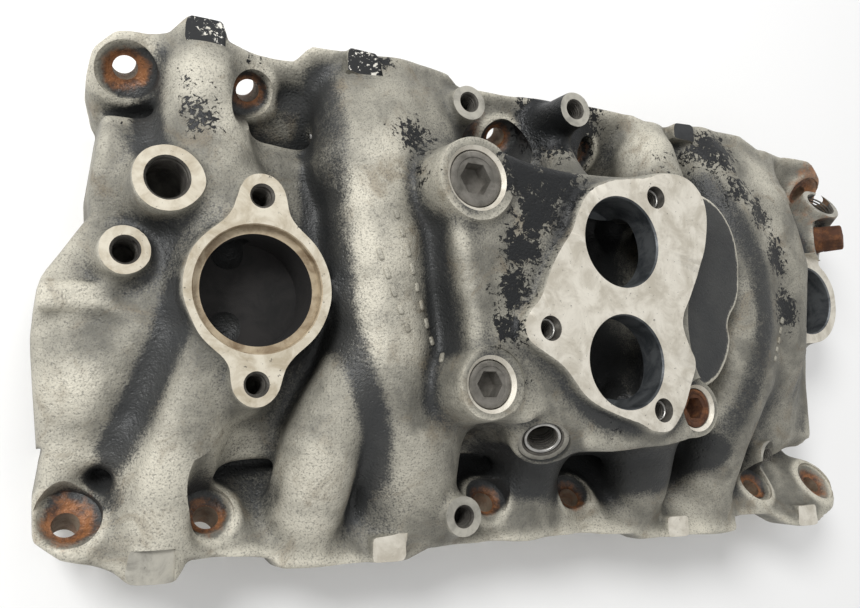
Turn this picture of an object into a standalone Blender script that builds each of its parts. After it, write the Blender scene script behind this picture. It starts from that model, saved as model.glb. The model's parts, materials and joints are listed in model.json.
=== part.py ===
"""Cast-aluminium intake manifold for a ninety-degree V8 engine with a two-barrel throttle body.

The object frame is in metres: +X towards the rear of the engine, +Y towards the right-hand
cylinder bank, +Z up. The origin lies under the middle of the casting, level with the feet of
its two head flanges. Sizes below are in millimetres and become metres as each mesh is made.
"""

import math

import bmesh
import bpy
from mathutils import Vector

MM = 0.001
SLIVER = 0.000004              # metres: corners this close are one

# Bolt rows on the two head flanges
ROW_CENTRE_X = -4.0            # middle of the left-hand bolt row
BANK_STAGGER = 11.0            # how far the right-hand bank sits behind the left-hand one
END_BOLT_REACH = 212.5         # row middle to the outermost bolts
SECOND_BOLT_REACH = 159.6
CENTRE_BOLT_REACH = 26.0
BOLT_LINE_HALF_WIDTH = 93.5    # engine centre plane to the bolt seats
BOLT_HOLE_RADIUS = 5.2
BOLT_SEAT_RADIUS = 12.0

# Head flanges, which lie flat on two faces that slope down towards the engine's middle
FACE_SLOPE = math.radians(35.0)
SEAT_HEIGHT = 34.0             # bolt seats above the flange feet
FLANGE_THICKNESS = 15.0
FLANGE_MARGIN = 20.0           # bolt line to the outer edge
FLANGE_END_MARGIN = 5.5        # end bolt to the straight end, inside the rounded ear
EAR_RADIUS = 16.5
FOOT_WIDTH = 11.0              # flat foot along the inner edge of each flange
LOCATING_PAD_DEPTH = 5.0       # machined pads that stand out of the flange edges
LOCATING_PAD_WIDTH = 27.0
LEFT_PAD_REACHES = (-183.0, -80.0, 94.0, 197.0)
RIGHT_PAD_REACHES = (-177.0, -107.0, 99.0)

# Valley floor and end rails
FLOOR_HEIGHT = 28.0
FLOOR_THICKNESS = 7.0
RAIL_DEPTH = 18.0
RAIL_TOP = 30.0
RAIL_LIP = 6.0                 # straight end of the flanges to the outside of a rail

# Throttle pad and pedestal
THROTTLE_X = 12.0
THROTTLE_Y = -0.7
THROTTLE_SPACING = 56.6
THROTTLE_BORE_RADIUS = 21.5
PAD_TOP = 93.8
PAD_RISE = 5.0                 # pad face above the deck round it
DECK_WALL = 8.0
STUD_HOLE_RADIUS = 4.9
STUD_HOLE_DEPTH = 19.0
STUD_HOLES = ((-30.5, -15.7), (34.2, 52.0), (32.3, -51.0))

# Plenum under the pedestal
PLENUM_FRONT = -30.0
PLENUM_REAR = 62.0
PLENUM_HALF_WIDTH = 45.0
PLENUM_FLOOR = 50.0
LOWER_LOBE_TOP = 79.0

# Intake runners
PORT_INNER_REACH = 67.0        # row middle to the inner ports
PORT_OUTER_REACH = 117.0
PORT_LINE_INSET = 1.5          # bolt line to port line, measured in plan
PORT_LINE_HALF_WIDTH = BOLT_LINE_HALF_WIDTH - PORT_LINE_INSET
PORT_WIDTH = 30.0
PORT_HEIGHT = 34.0
PORT_CORNER = 6.0
RUNNER_WALL = 5.0
RUNNER_CORE_HEIGHT = 57.0
INNER_ENTRY_REACH = 42.0
OUTER_ENTRY_REACH = 58.0
RUNNER_ENTRY_HALF_WIDTH = 18.0
BEND_STEPS = 5

# Humps that carry the runners across in front of and behind the pedestal
FRONT_HUMP_X = -96.0
REAR_HUMP_X = 128.0
HUMP_TOP = 70.0
HUMP_END_TOP = 45.0
HUMP_WIDTH = 43.3

# Exhaust crossover under the plenum
CROSSOVER_WIDTH = 32.0
CROSSOVER_HEIGHT = 18.0
CROSSOVER_WALL = 5.0
CROSSOVER_CORE_HEIGHT = 31.0

# Cooling water crossover and thermostat housing
WATER_PORT_REACH = 186.0
WATER_WIDTH = 26.0
WATER_HEIGHT = 20.0
WATER_WALL = 6.0
WATER_CORE_HEIGHT = 38.0
BLIND_PORT_DEPTH = 9.0
THERMOSTAT_SETBACK = 64.3      # front end bolt to the thermostat's axis
THERMOSTAT_Y = -2.4
THERMOSTAT_TOP = 63.4
THERMOSTAT_SEAT_RADIUS = 27.1
THERMOSTAT_SEAT_DEPTH = 3.5
THERMOSTAT_BORE_RADIUS = 23.4
THERMOSTAT_RIM = 5.5
OUTLET_BOLT_SPACING = 77.7
OUTLET_BOLT_RADIUS = 4.3
OUTLET_LOBE_RADIUS = 12.0
OUTLET_FLANGE_THICKNESS = 7.0

# Round bosses: (x, y, top height, outer radius, hole radius, hole depth)
HEATER_BOSS = (-190.0, 39.5, 62.0, 14.5, 8.4, 26.0)
SENDER_BOSS = (-203.0, 11.0, 52.0, 10.5, 5.2, 22.0)
BRACKET_BOSSES = (
    (-54.0, -98.0, 56.0, 9.5, 4.4, 16.0),
    (-52.0, 97.0, 62.0, 9.5, 4.4, 16.0),
    (4.0, 100.0, 72.0, 9.5, 4.6, 18.0),
    (151.0, -75.0, 52.0, 9.0, 3.6, 14.0),
)

# Threaded water port at the rear right corner: mouth, direction, radii and depth
REAR_PORT_MOUTH = (214.0, 82.0, 52.0)
REAR_PORT_AXIS = (-0.05, 0.55, 0.83)
REAR_PORT_RADIUS = 8.6
REAR_PORT_BOSS_RADIUS = 13.0
REAR_PORT_DEPTH = 20.0

# Socket-head pipe plugs: name, x, y, boss top, thread radius, boss radius
SOCKET_PLUGS = (
    ("front_right_socket_plug", -65.7, 48.4, 92.0, 12.8, 18.5),
    ("front_left_socket_plug", -58.9, -40.5, 90.0, 10.4, 15.0),
    ("rear_left_socket_plug", 64.5, -49.5, 83.0, 9.6, 13.5),
)
PLUG_LENGTH = 14.0
PLUG_RECESS = 1.2              # plug face below its boss
SOCKET_SHARE = 0.52            # across-flats half width of the socket over the thread radius
SOCKET_DEPTH = 8.0

# Square-head pipe plug at the rear
SQUARE_PLUG_MOUTH = (209.0, 58.0, 50.0)
SQUARE_PLUG_AXIS = (0.5, 0.0, 0.866)
SQUARE_PLUG_RADIUS = 8.4
SQUARE_PLUG_BOSS_RADIUS = 14.0
SQUARE_PLUG_THREAD = 13.0
SQUARE_PLUG_COLLAR = 4.0
SQUARE_HEAD_HALF_WIDTH = 6.0
SQUARE_HEAD_HEIGHT = 11.0

# Threaded vacuum port on the pedestal's left flank, and its sleeve
SIDE_PORT_MOUTH = (-24.0, -64.0, 76.0)
SIDE_PORT_AXIS = (-0.3, -0.64, 0.71)
SIDE_PORT_RADIUS = 8.6
SIDE_PORT_BOSS_RADIUS = 13.0
SIDE_PORT_DEPTH = 16.0
SLEEVE_WALL = 1.6
INSERT_WALL = 1.0

# Distributor opening
DISTRIBUTOR_X = 201.0
DISTRIBUTOR_Y = 19.0
DISTRIBUTOR_RADIUS = 20.5
DISTRIBUTOR_RIM = 6.0
DISTRIBUTOR_TOP = 47.0

# Oil splash shield under the exhaust crossover, and its rivets
SHIELD_LENGTH = 96.0
SHIELD_WIDTH = 74.0
SHIELD_THICKNESS = 1.2
SHIELD_HEIGHT = 7.0
SHIELD_FLANGE = 4.0
RIVET_POST_RADIUS = 5.5
RIVET_SHANK_RADIUS = 2.0
RIVET_SHANK_LENGTH = 9.0
RIVET_HEAD_RADIUS = 4.4
RIVET_HEAD_HEIGHT = 2.2
RIVET_COLUMNS = (-1, 1)
RIVET_INSET = 9.0

FIT_GAP = 0.3                  # clearance between pieces that touch
OVERCUT = 2.0                  # how far a cutter runs past the surface it opens
SLOPE_OUT = math.cos(FACE_SLOPE)
SLOPE_UP = math.sin(FACE_SLOPE)
BANKS = (-1, 1)                # left-hand bank, right-hand bank


# Geometry helpers, all in millimetres


def loft(rings):
    """A closed solid skinned over rings of equal point counts, with flat ends."""
    mesh = bmesh.new()
    loops = [[mesh.verts.new(point) for point in ring] for ring in rings]
    count = len(loops[0])
    for lower, upper in zip(loops, loops[1:]):
        for index in range(count):
            after = (index + 1) % count
            mesh.faces.new((lower[index], lower[after], upper[after], upper[index]))
    mesh.faces.new(loops[0][::-1])
    mesh.faces.new(loops[-1])
    bmesh.ops.recalc_face_normals(mesh, faces=mesh.faces)
    return mesh


def prism(outline, low, high):
    return loft([[Vector((x, y, z)) for x, y in outline] for z in (low, high)])


def block(low, high):
    corners = ((low[0], low[1]), (high[0], low[1]), (high[0], high[1]), (low[0], high[1]))
    return prism(corners, low[2], high[2])


def tapered_prism(outline, middle, low, high, spread):
    """A prism whose base is larger than its top by the given share."""
    mx, my = middle

    def grown(share):
        return [(mx + (x - mx) * share, my + (y - my) * share) for x, y in outline]

    rings = []
    for height, share in ((low, 1.0 + spread), (high, 1.0)):
        rings.append([Vector((x, y, height)) for x, y in grown(share)])
    return loft(rings)


def ring_points(centre, axis, radius, segments, turn=0.0):
    axis = axis.normalized()
    side = axis.cross(Vector((0, 1, 0)))
    if side.length < 0.1:
        side = axis.cross(Vector((1, 0, 0)))
    side.normalize()
    other = axis.cross(side)
    points = []
    for index in range(segments):
        angle = turn + 2 * math.pi * index / segments
        points.append(centre + radius * (side * math.cos(angle) + other * math.sin(angle)))
    return points


def turned(start, axis, profile, segments=16, turn=0.0):
    """A turned solid: the profile is a list of (distance along the axis, radius)."""
    axis = axis.normalized()
    rings = [ring_points(start + axis * along, axis, radius, segments, turn) for along, radius in profile]
    return loft(rings)


def upright(x, y, low, high, radius, top_radius=None, segments=16):
    if top_radius is None:
        top_radius = radius
    start = Vector((x, y, low))
    return turned(start, Vector((0, 0, 1)), ((0.0, radius), (high - low, top_radius)), segments)


def sweep(path, width, height, corner):
    """A duct of rounded-rectangle section along a path of points."""
    half_width, half_height = width / 2, height / 2
    outline = []
    for across, up in ((1, 1), (-1, 1), (-1, -1), (1, -1)):
        long_side = (across * (half_width - corner), up * half_height)
        short_side = (across * half_width, up * (half_height - corner))
        outline += [long_side, short_side] if across * up < 0 else [short_side, long_side]
    rings = []
    for index, point in enumerate(path):
        before = path[max(index - 1, 0)]
        after = path[min(index + 1, len(path) - 1)]
        tangent = (after - before).normalized()
        across = tangent.cross(Vector((0, 0, 1))).normalized()
        up = across.cross(tangent).normalized()
        rings.append([point + across * a + up * b for a, b in outline])
    return loft(rings)


def to_object(name, mesh):
    bmesh.ops.scale(mesh, vec=(MM, MM, MM), verts=mesh.verts)
    bmesh.ops.recalc_face_normals(mesh, faces=mesh.faces)
    data = bpy.data.meshes.new(name)
    mesh.to_mesh(data)
    mesh.free()
    made = bpy.data.objects.new(name, data)
    bpy.context.scene.collection.objects.link(made)
    return made


def apply_boolean(target, operation, helper, solver="EXACT"):
    """Combine one helper object with the target, keep the result as its mesh, and remove the helper."""
    modifier = target.modifiers.new(operation.lower(), "BOOLEAN")
    modifier.operation = operation
    modifier.solver = solver
    modifier.object = helper
    graph = bpy.context.evaluated_depsgraph_get()
    target.data = bpy.data.meshes.new_from_object(target.evaluated_get(graph))
    target.modifiers.clear()
    bpy.data.objects.remove(helper)


def fuse(name, solids, solver="EXACT"):
    """One object from overlapping solids."""
    first, *others = [to_object(name, solid) for solid in solids]
    for other in others:
        apply_boolean(first, "UNION", other, solver)
    return first


def cut(target, solids, solver="EXACT"):
    for solid in solids:
        apply_boolean(target, "DIFFERENCE", to_object("cutter", solid), solver)


def merge_flat_faces(target):
    """Join what lies in one plane into single faces, and drop slivers."""
    mesh = bmesh.new()
    mesh.from_mesh(target.data)
    bmesh.ops.remove_doubles(mesh, verts=mesh.verts, dist=SLIVER)
    bmesh.ops.dissolve_limit(mesh, angle_limit=0.001, verts=mesh.verts, edges=mesh.edges)
    bmesh.ops.triangulate(mesh, faces=mesh.faces)
    mesh.to_mesh(target.data)
    mesh.free()


# Places on the head flanges


def bank_x(bank, reach):
    """Where a distance from the row middle falls along the engine on one bank."""
    return ROW_CENTRE_X + reach + (BANK_STAGGER if bank > 0 else 0.0)


def bolt_axis(bank):
    """Direction of a flange bolt, down and outward into the cylinder head."""
    return Vector((0, bank * SLOPE_UP, -SLOPE_OUT))


def seat_point(bank, reach):
    return Vector((bank_x(bank, reach), bank * BOLT_LINE_HALF_WIDTH, SEAT_HEIGHT))


def face_height(half_width):
    """Height of the head mating face at a distance from the centre plane."""
    on_face = BOLT_LINE_HALF_WIDTH + FLANGE_THICKNESS * SLOPE_UP
    level = SEAT_HEIGHT - FLANGE_THICKNESS * SLOPE_OUT
    return level + (half_width - on_face) * math.tan(FACE_SLOPE)


def foot_half_width():
    """Half width at which the mating face meets the height of the feet."""
    return PORT_LINE_HALF_WIDTH - face_height(PORT_LINE_HALF_WIDTH) / math.tan(FACE_SLOPE)


def face_point(bank, reach):
    height = face_height(PORT_LINE_HALF_WIDTH)
    return Vector((bank_x(bank, reach), bank * PORT_LINE_HALF_WIDTH, height))


def front_x():
    return ROW_CENTRE_X - END_BOLT_REACH - FLANGE_END_MARGIN


def rear_x():
    return ROW_CENTRE_X + END_BOLT_REACH + FLANGE_END_MARGIN


def thermostat_x():
    return ROW_CENTRE_X - END_BOLT_REACH + THERMOSTAT_SETBACK


# The casting's outside


def flange_section(bank, outer):
    """Cross-section of a head flange out to the given half width."""
    rise = FLANGE_THICKNESS / SLOPE_OUT
    foot = foot_half_width()
    inner = foot - FOOT_WIDTH
    points = (
        (inner, 0.0),
        (foot, 0.0),
        (outer, face_height(outer)),
        (outer, face_height(outer) + rise),
        (inner, face_height(inner) + rise),
    )
    return [(bank * half_width, height) for half_width, height in points]


def flange_bar(bank, start, end, outer):
    section = flange_section(bank, outer)
    return loft([[Vector((x, y, z)) for y, z in section] for x in (start, end)])


def head_flange_solids():
    outer = BOLT_LINE_HALF_WIDTH + FLANGE_MARGIN
    solids = []
    for bank in BANKS:
        reach = END_BOLT_REACH + FLANGE_END_MARGIN
        solids.append(flange_bar(bank, bank_x(bank, -reach), bank_x(bank, reach), outer))
        for end in (-1, 1):
            seat = seat_point(bank, end * END_BOLT_REACH)
            solids.append(turned(seat, bolt_axis(bank), ((0.0, EAR_RADIUS), (FLANGE_THICKNESS, EAR_RADIUS))))
        pads = LEFT_PAD_REACHES if bank < 0 else RIGHT_PAD_REACHES
        half = LOCATING_PAD_WIDTH / 2
        for reach in pads:
            middle = bank_x(bank, reach)
            solids.append(flange_bar(bank, middle - half, middle + half, outer + LOCATING_PAD_DEPTH))
    return solids


def frame_solids():
    """Valley walls, floor and the two end rails."""
    foot = foot_half_width()
    inner = foot - FOOT_WIDTH
    front, rear = front_x(), rear_x() + BANK_STAGGER / 2
    floor_top = FLOOR_HEIGHT + FLOOR_THICKNESS
    solids = [block((front, -inner - OVERCUT, FLOOR_HEIGHT), (rear - RAIL_DEPTH, inner + OVERCUT, floor_top))]
    for bank in BANKS:
        near, far = sorted((bank * inner, bank * (inner + FOOT_WIDTH / 2)))
        solids.append(block((front, near, 0.0), (rear - RAIL_DEPTH / 2, far, floor_top)))
    outer = foot - OVERCUT
    solids.append(block((front - RAIL_LIP, -outer, 0.0), (front + RAIL_DEPTH, outer, RAIL_TOP + RAIL_LIP)))
    solids.append(block((rear - RAIL_DEPTH - RAIL_LIP, -outer, 0.0), (rear - RAIL_LIP, outer, RAIL_TOP)))
    lug = ((-RAIL_LIP, 33.0), (-RAIL_LIP, -70.0), (-10.0, -60.0), (-13.5, -24.0), (-14.0, -6.0), (-8.0, 10.0))
    solids.append(prism([(front + x, y) for x, y in lug], 12.0, RAIL_TOP))
    return solids


def front_body_solids():
    """Water crossover, thermostat tower and the flared skirt in front of it."""
    x = thermostat_x()
    width = WATER_WIDTH + 2 * WATER_WALL
    height = WATER_HEIGHT + 2 * WATER_WALL
    solids = [sweep(water_path(), width, height, WATER_WALL)]
    seat = THERMOSTAT_SEAT_RADIUS + THERMOSTAT_RIM
    solids.append(upright(x, THERMOSTAT_Y, FLOOR_HEIGHT, THERMOSTAT_TOP, seat + 3.0, seat, 28))
    lobe_offset = OUTLET_BOLT_SPACING / 2
    flange_low = THERMOSTAT_TOP - OUTLET_FLANGE_THICKNESS
    outline = []
    for end in (1, -1):
        for index in range(-2, 3):
            angle = math.radians(90 * end + 26 * index)
            lobe_y = THERMOSTAT_Y + end * lobe_offset
            across = OUTLET_LOBE_RADIUS * math.cos(angle)
            outline.append((x + across, lobe_y + OUTLET_LOBE_RADIUS * math.sin(angle)))
        for index in (-1, 0, 1):
            angle = math.radians(90 * end + 90 + 24 * index)
            outline.append((x + seat * math.cos(angle), THERMOSTAT_Y + seat * math.sin(angle)))
    solids.append(prism(outline, flange_low, THERMOSTAT_TOP))
    for end in (-1, 1):
        lobe_y = THERMOSTAT_Y + end * lobe_offset
        foot = OUTLET_LOBE_RADIUS + 5.0
        solids.append(upright(x, lobe_y, FLOOR_HEIGHT, flange_low + 1.0, foot, OUTLET_LOBE_RADIUS))
    inner = foot_half_width() - OVERCUT
    skirt = []
    low = FLOOR_HEIGHT - 2.0
    for station, top in ((front_x() - 1.0, RAIL_TOP + 4.0), (x - seat, 46.0), (x + seat + 10.0, 44.0)):
        ring = ((-inner, low), (inner, low), (inner, top - 2.0), (0.0, top + 4.0), (-inner, top - 2.0))
        skirt.append([Vector((station, y, z)) for y, z in ring])
    solids.append(loft(skirt))
    return solids


def duct_path(bank, reach, height, end, lead):
    """Centre line of a duct: square out of its port, round one bend to a level, then straight on.

    A positive lead adds a point outside the mating face, so that a cutter opens the port.
    """
    port = face_point(bank, reach)
    axis = bolt_axis(bank)
    start = port - axis * FLANGE_THICKNESS / 2
    corner = port - axis * ((height - port.z) / SLOPE_OUT)
    leg = (corner - start).length
    shoulder = corner + (end - corner).normalized() * min(leg, 0.8 * (end - corner).length)
    path = [port + axis * lead] if lead > 0 else []
    for step in range(BEND_STEPS + 1):
        share = step / BEND_STEPS
        path.append(start.lerp(corner, share).lerp(corner.lerp(shoulder, share), share))
    return path + [end]


def crossing_path(reach, height, middle_x, lead):
    """Centre line of a duct from the right-hand mating face across to the left-hand one."""
    middle = Vector((middle_x, 0.0, height))
    right = duct_path(1, reach, height, middle, lead)
    left = duct_path(-1, reach, height, middle, lead)
    return right + left[-2::-1]


def water_path(lead=0.0):
    return crossing_path(-WATER_PORT_REACH, WATER_CORE_HEIGHT, thermostat_x(), lead)


def exhaust_path(lead=0.0):
    return crossing_path(0.0, CROSSOVER_CORE_HEIGHT, ROW_CENTRE_X + BANK_STAGGER / 2, lead)


def runner_path(bank, reach, lead=0.0):
    """Centre line of an intake runner from its port into the plenum."""
    entry_reach = OUTER_ENTRY_REACH if abs(reach) == PORT_OUTER_REACH else INNER_ENTRY_REACH
    entry = THROTTLE_X + math.copysign(entry_reach, reach)
    end = Vector((entry, bank * RUNNER_ENTRY_HALF_WIDTH, RUNNER_CORE_HEIGHT))
    return duct_path(bank, reach, RUNNER_CORE_HEIGHT, end, lead)


def runner_reaches():
    return (-PORT_OUTER_REACH, -PORT_INNER_REACH, PORT_INNER_REACH, PORT_OUTER_REACH)


def runner_solids():
    width, height = PORT_WIDTH + 2 * RUNNER_WALL, PORT_HEIGHT + 2 * RUNNER_WALL
    solids = []
    for bank in BANKS:
        for reach in runner_reaches():
            solids.append(sweep(runner_path(bank, reach), width, height, PORT_CORNER + RUNNER_WALL))
    return solids


def hump(middle_x):
    """Rounded transverse hump from flange to flange, solid down to the faces outside the valley."""
    edge = BOLT_LINE_HALF_WIDTH + FLANGE_MARGIN - 1.5
    valley_wall = foot_half_width() - FOOT_WIDTH / 2
    half = HUMP_WIDTH / 2
    stations = (
        (-edge, HUMP_END_TOP, 6.0), (-0.78 * edge, 60.0, 6.0), (-valley_wall, HUMP_TOP - 5.0, 4.0),
        (-0.35 * edge, HUMP_TOP - 2.0, 3.0), (0.0, HUMP_TOP, 0.0), (0.35 * edge, HUMP_TOP - 1.0, -3.0),
        (valley_wall, HUMP_TOP - 4.0, -1.0), (0.78 * edge, 62.0, 2.0), (edge, HUMP_END_TOP + 1.0, 5.0),
    )
    rings = []
    for y, top, lean in stations:
        base = FLOOR_HEIGHT + 4.0 if abs(y) < valley_wall else max(face_height(abs(y)) + 3.0, 6.0)
        profile = ((-half - 12.0, base), (half + 12.0, base), (half, top - 10.0), (half - 9.0, top),
                   (9.0 - half, top), (-half, top - 10.0))
        rings.append([Vector((middle_x + lean + x, y, z)) for x, z in profile])
    return loft(rings)


def pedestal_solids():
    deck_top = PAD_TOP - PAD_RISE
    middle = (THROTTLE_X, THROTTLE_Y)
    deck = (
        (-80.0, 52.0), (-74.0, 66.0), (-56.0, 68.0), (-31.0, 61.0), (4.0, 62.0), (58.0, 66.0), (70.0, 58.0),
        (74.0, 20.0), (74.0, -34.0), (79.0, -52.0), (62.0, -66.0), (8.0, -71.0), (-26.0, -68.0),
        (-45.0, -54.0), (-64.0, -54.0), (-72.0, -40.0), (-68.0, -17.0), (-75.0, 12.0),
    )
    pad = (
        (0.0, 55.0), (28.0, 61.0), (43.0, 65.0), (62.0, 57.0), (70.0, 47.0), (65.0, 24.0), (46.0, -13.0),
        (54.0, -27.0), (50.0, -40.0), (45.0, -54.0), (32.0, -62.0), (18.0, -57.0), (-5.0, -53.0),
        (-20.0, -41.0), (-33.0, -30.0), (-44.0, -19.0), (-40.0, -6.0), (-31.0, 3.0), (-17.0, 30.0),
    )
    lobe = (
        (60.0, 66.0), (88.0, 63.0), (97.0, 53.0), (105.0, 37.0), (107.0, 15.0), (101.0, -2.0),
        (92.0, -14.0), (82.0, -24.0), (60.0, -30.0),
    )
    return [
        tapered_prism(deck, middle, FLOOR_HEIGHT + 2.0, deck_top, 0.03),
        prism(pad, deck_top - 4.0, PAD_TOP),
        tapered_prism(lobe, (75.0, 20.0), FLOOR_HEIGHT + 2.0, LOWER_LOBE_TOP, 0.03),
    ]


def boss_solids():
    solids = []
    for x, y, top, radius, _hole, _depth in (HEATER_BOSS, SENDER_BOSS) + BRACKET_BOSSES:
        solids.append(upright(x, y, FLOOR_HEIGHT + 1.0, top, radius + 4.0, radius))
    for _name, x, y, top, _thread, radius in SOCKET_PLUGS:
        solids.append(upright(x, y, FLOOR_HEIGHT + 1.0, top, radius + 3.0, radius))
    leaning = (
        (SQUARE_PLUG_MOUTH, SQUARE_PLUG_AXIS, SQUARE_PLUG_BOSS_RADIUS, 30.0),
        (REAR_PORT_MOUTH, REAR_PORT_AXIS, REAR_PORT_BOSS_RADIUS, 34.0),
        (SIDE_PORT_MOUTH, SIDE_PORT_AXIS, SIDE_PORT_BOSS_RADIUS, 30.0),
    )
    for mouth, axis, radius, length in leaning:
        solids.append(turned(Vector(mouth), Vector(axis), ((-length, radius + 4.0), (0.0, radius)), 20))
    rim = DISTRIBUTOR_RADIUS + DISTRIBUTOR_RIM
    solids.append(upright(DISTRIBUTOR_X, DISTRIBUTOR_Y, 6.0, DISTRIBUTOR_TOP, rim + 2.0, rim, 28))
    rear_body = block((rear_x() - 48.0, -foot_half_width() + 6.0, FLOOR_HEIGHT), (rear_x() - 4.0, 74.0, 43.0))
    solids.append(rear_body)
    post_top = FLOOR_HEIGHT + 2.0
    for x, y in rivet_places():
        solids.append(upright(x, y, SHIELD_HEIGHT + SHIELD_THICKNESS + FIT_GAP, post_top, RIVET_POST_RADIUS))
    return solids


# The casting's passages and holes


def rivet_places():
    """Rivet centres, in two rows along the shield's long edges."""
    middle = THROTTLE_X - 12.0
    spread = SHIELD_LENGTH / 2 - RIVET_INSET
    offset = SHIELD_WIDTH / 2 - RIVET_INSET
    return [(middle + column * spread, bank * offset) for column in RIVET_COLUMNS for bank in BANKS]


def passage_cuts():
    lead = FLANGE_THICKNESS
    cuts = []
    for bank in BANKS:
        for reach in runner_reaches():
            cuts.append(sweep(runner_path(bank, reach, lead), PORT_WIDTH, PORT_HEIGHT, PORT_CORNER))
    cuts.append(sweep(exhaust_path(lead), CROSSOVER_WIDTH, CROSSOVER_HEIGHT, PORT_CORNER))
    cuts.append(sweep(water_path(lead), WATER_WIDTH, WATER_HEIGHT, PORT_CORNER))
    deck_inside = PAD_TOP - PAD_RISE - DECK_WALL
    plenum_far_corner = (PLENUM_REAR, PLENUM_HALF_WIDTH, deck_inside)
    lobe_far_corner = (PLENUM_REAR + 33.0, 50.0, LOWER_LOBE_TOP - DECK_WALL)
    cuts.append(block((PLENUM_FRONT, -PLENUM_HALF_WIDTH, PLENUM_FLOOR), plenum_far_corner))
    cuts.append(block((PLENUM_REAR - 6.0, -12.0, PLENUM_FLOOR), lobe_far_corner))
    for bank in BANKS:
        y = THROTTLE_Y + bank * THROTTLE_SPACING / 2
        bore_low, bore_high = deck_inside - 10.0, PAD_TOP + OVERCUT
        cuts.append(upright(THROTTLE_X, y, bore_low, bore_high, THROTTLE_BORE_RADIUS, segments=28))
        rear_port = face_point(bank, WATER_PORT_REACH)
        axis = bolt_axis(bank)
        blind_path = [rear_port + axis * lead, rear_port - axis * BLIND_PORT_DEPTH]
        cuts.append(sweep(blind_path, WATER_WIDTH, WATER_WIDTH, PORT_CORNER))
    return cuts


def thermostat_cuts():
    x = thermostat_x()
    seat_floor = THERMOSTAT_TOP - THERMOSTAT_SEAT_DEPTH
    open_top = THERMOSTAT_TOP + OVERCUT
    cuts = [
        upright(x, THERMOSTAT_Y, WATER_CORE_HEIGHT - 6.0, open_top, THERMOSTAT_BORE_RADIUS, segments=28),
        upright(x, THERMOSTAT_Y, seat_floor, open_top, THERMOSTAT_SEAT_RADIUS, segments=28),
    ]
    for end in (-1, 1):
        y = THERMOSTAT_Y + end * OUTLET_BOLT_SPACING / 2
        cuts.append(upright(x, y, THERMOSTAT_TOP - 20.0, open_top, OUTLET_BOLT_RADIUS, segments=12))
    return cuts


def hole_cuts():
    cuts = []
    for x, y, top, _radius, hole, depth in (HEATER_BOSS, SENDER_BOSS) + BRACKET_BOSSES:
        cuts.append(upright(x, y, top - depth, top + OVERCUT, hole, segments=14))
    for _name, x, y, top, thread, _boss in SOCKET_PLUGS:
        low = top - PLUG_RECESS - PLUG_LENGTH - FIT_GAP
        cuts.append(upright(x, y, low, top + OVERCUT, thread + FIT_GAP, segments=28))
    leaning = (
        (SQUARE_PLUG_MOUTH, SQUARE_PLUG_AXIS, SQUARE_PLUG_RADIUS + FIT_GAP, SQUARE_PLUG_THREAD + FIT_GAP),
        (REAR_PORT_MOUTH, REAR_PORT_AXIS, REAR_PORT_RADIUS, REAR_PORT_DEPTH),
        (SIDE_PORT_MOUTH, SIDE_PORT_AXIS, SIDE_PORT_RADIUS + FIT_GAP, SIDE_PORT_DEPTH),
    )
    for mouth, axis, radius, depth in leaning:
        cuts.append(turned(Vector(mouth), Vector(axis), ((-depth, radius), (30.0, radius)), 28))
    stud_low, stud_high = PAD_TOP - STUD_HOLE_DEPTH, PAD_TOP + OVERCUT
    for x, y in STUD_HOLES:
        cuts.append(upright(x, y, stud_low, stud_high, STUD_HOLE_RADIUS + FIT_GAP, segments=14))
    well_top = DISTRIBUTOR_TOP + OVERCUT
    cuts.append(upright(DISTRIBUTOR_X, DISTRIBUTOR_Y, -30.0, well_top, DISTRIBUTOR_RADIUS, segments=28))
    for x, y in rivet_places():
        depth = RIVET_SHANK_LENGTH
        low = SHIELD_HEIGHT
        cuts.append(upright(x, y, low, low + depth + FIT_GAP, RIVET_SHANK_RADIUS + FIT_GAP, segments=16))
    return cuts


def bolt_cuts():
    """Flange bolt holes, square to the mating faces, with a flat seat cut above each one."""
    cuts = []
    for bank in BANKS:
        for reach in (END_BOLT_REACH, SECOND_BOLT_REACH, CENTRE_BOLT_REACH):
            for end in (-1, 1):
                seat = seat_point(bank, end * reach)
                axis = bolt_axis(bank)
                cuts.append(turned(seat, axis, ((-30.0, BOLT_HOLE_RADIUS), (40.0, BOLT_HOLE_RADIUS)), 12))
                cuts.append(turned(seat, -axis, ((0.0, BOLT_SEAT_RADIUS), (45.0, BOLT_SEAT_RADIUS)), 16))
    return cuts


def make_casting():
    solids = head_flange_solids() + frame_solids() + front_body_solids() + runner_solids()
    solids += [hump(FRONT_HUMP_X), hump(REAR_HUMP_X)] + pedestal_solids() + boss_solids()
    width, height = CROSSOVER_WIDTH + 2 * CROSSOVER_WALL, CROSSOVER_HEIGHT + 2 * CROSSOVER_WALL
    solids.append(sweep(exhaust_path(), width, height, CROSSOVER_WALL + PORT_CORNER))
    # So many solids meet here that the exact solver leaves open edges, and the manifold one doesn't.
    casting = fuse("manifold_casting", solids, solver="MANIFOLD")
    cut(casting, passage_cuts() + thermostat_cuts() + hole_cuts() + bolt_cuts(), solver="MANIFOLD")
    merge_flat_faces(casting)
    return casting


# The separate pieces


def make_socket_plug(name, x, y, top, thread, _boss):
    face = top - PLUG_RECESS
    profile = ((0.0, thread - 1.2), (1.2, thread), (PLUG_LENGTH - 1.0, thread), (PLUG_LENGTH, thread - 1.0))
    plug = to_object(name, turned(Vector((x, y, face - PLUG_LENGTH)), Vector((0, 0, 1)), profile, 40))
    corner = thread * SOCKET_SHARE / math.cos(math.pi / 6)
    socket = turned(Vector((x, y, face - SOCKET_DEPTH)), Vector((0, 0, 1)),
                    ((0.0, corner), (SOCKET_DEPTH + OVERCUT, corner)), 6)
    cut(plug, [socket])
    return plug


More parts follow.
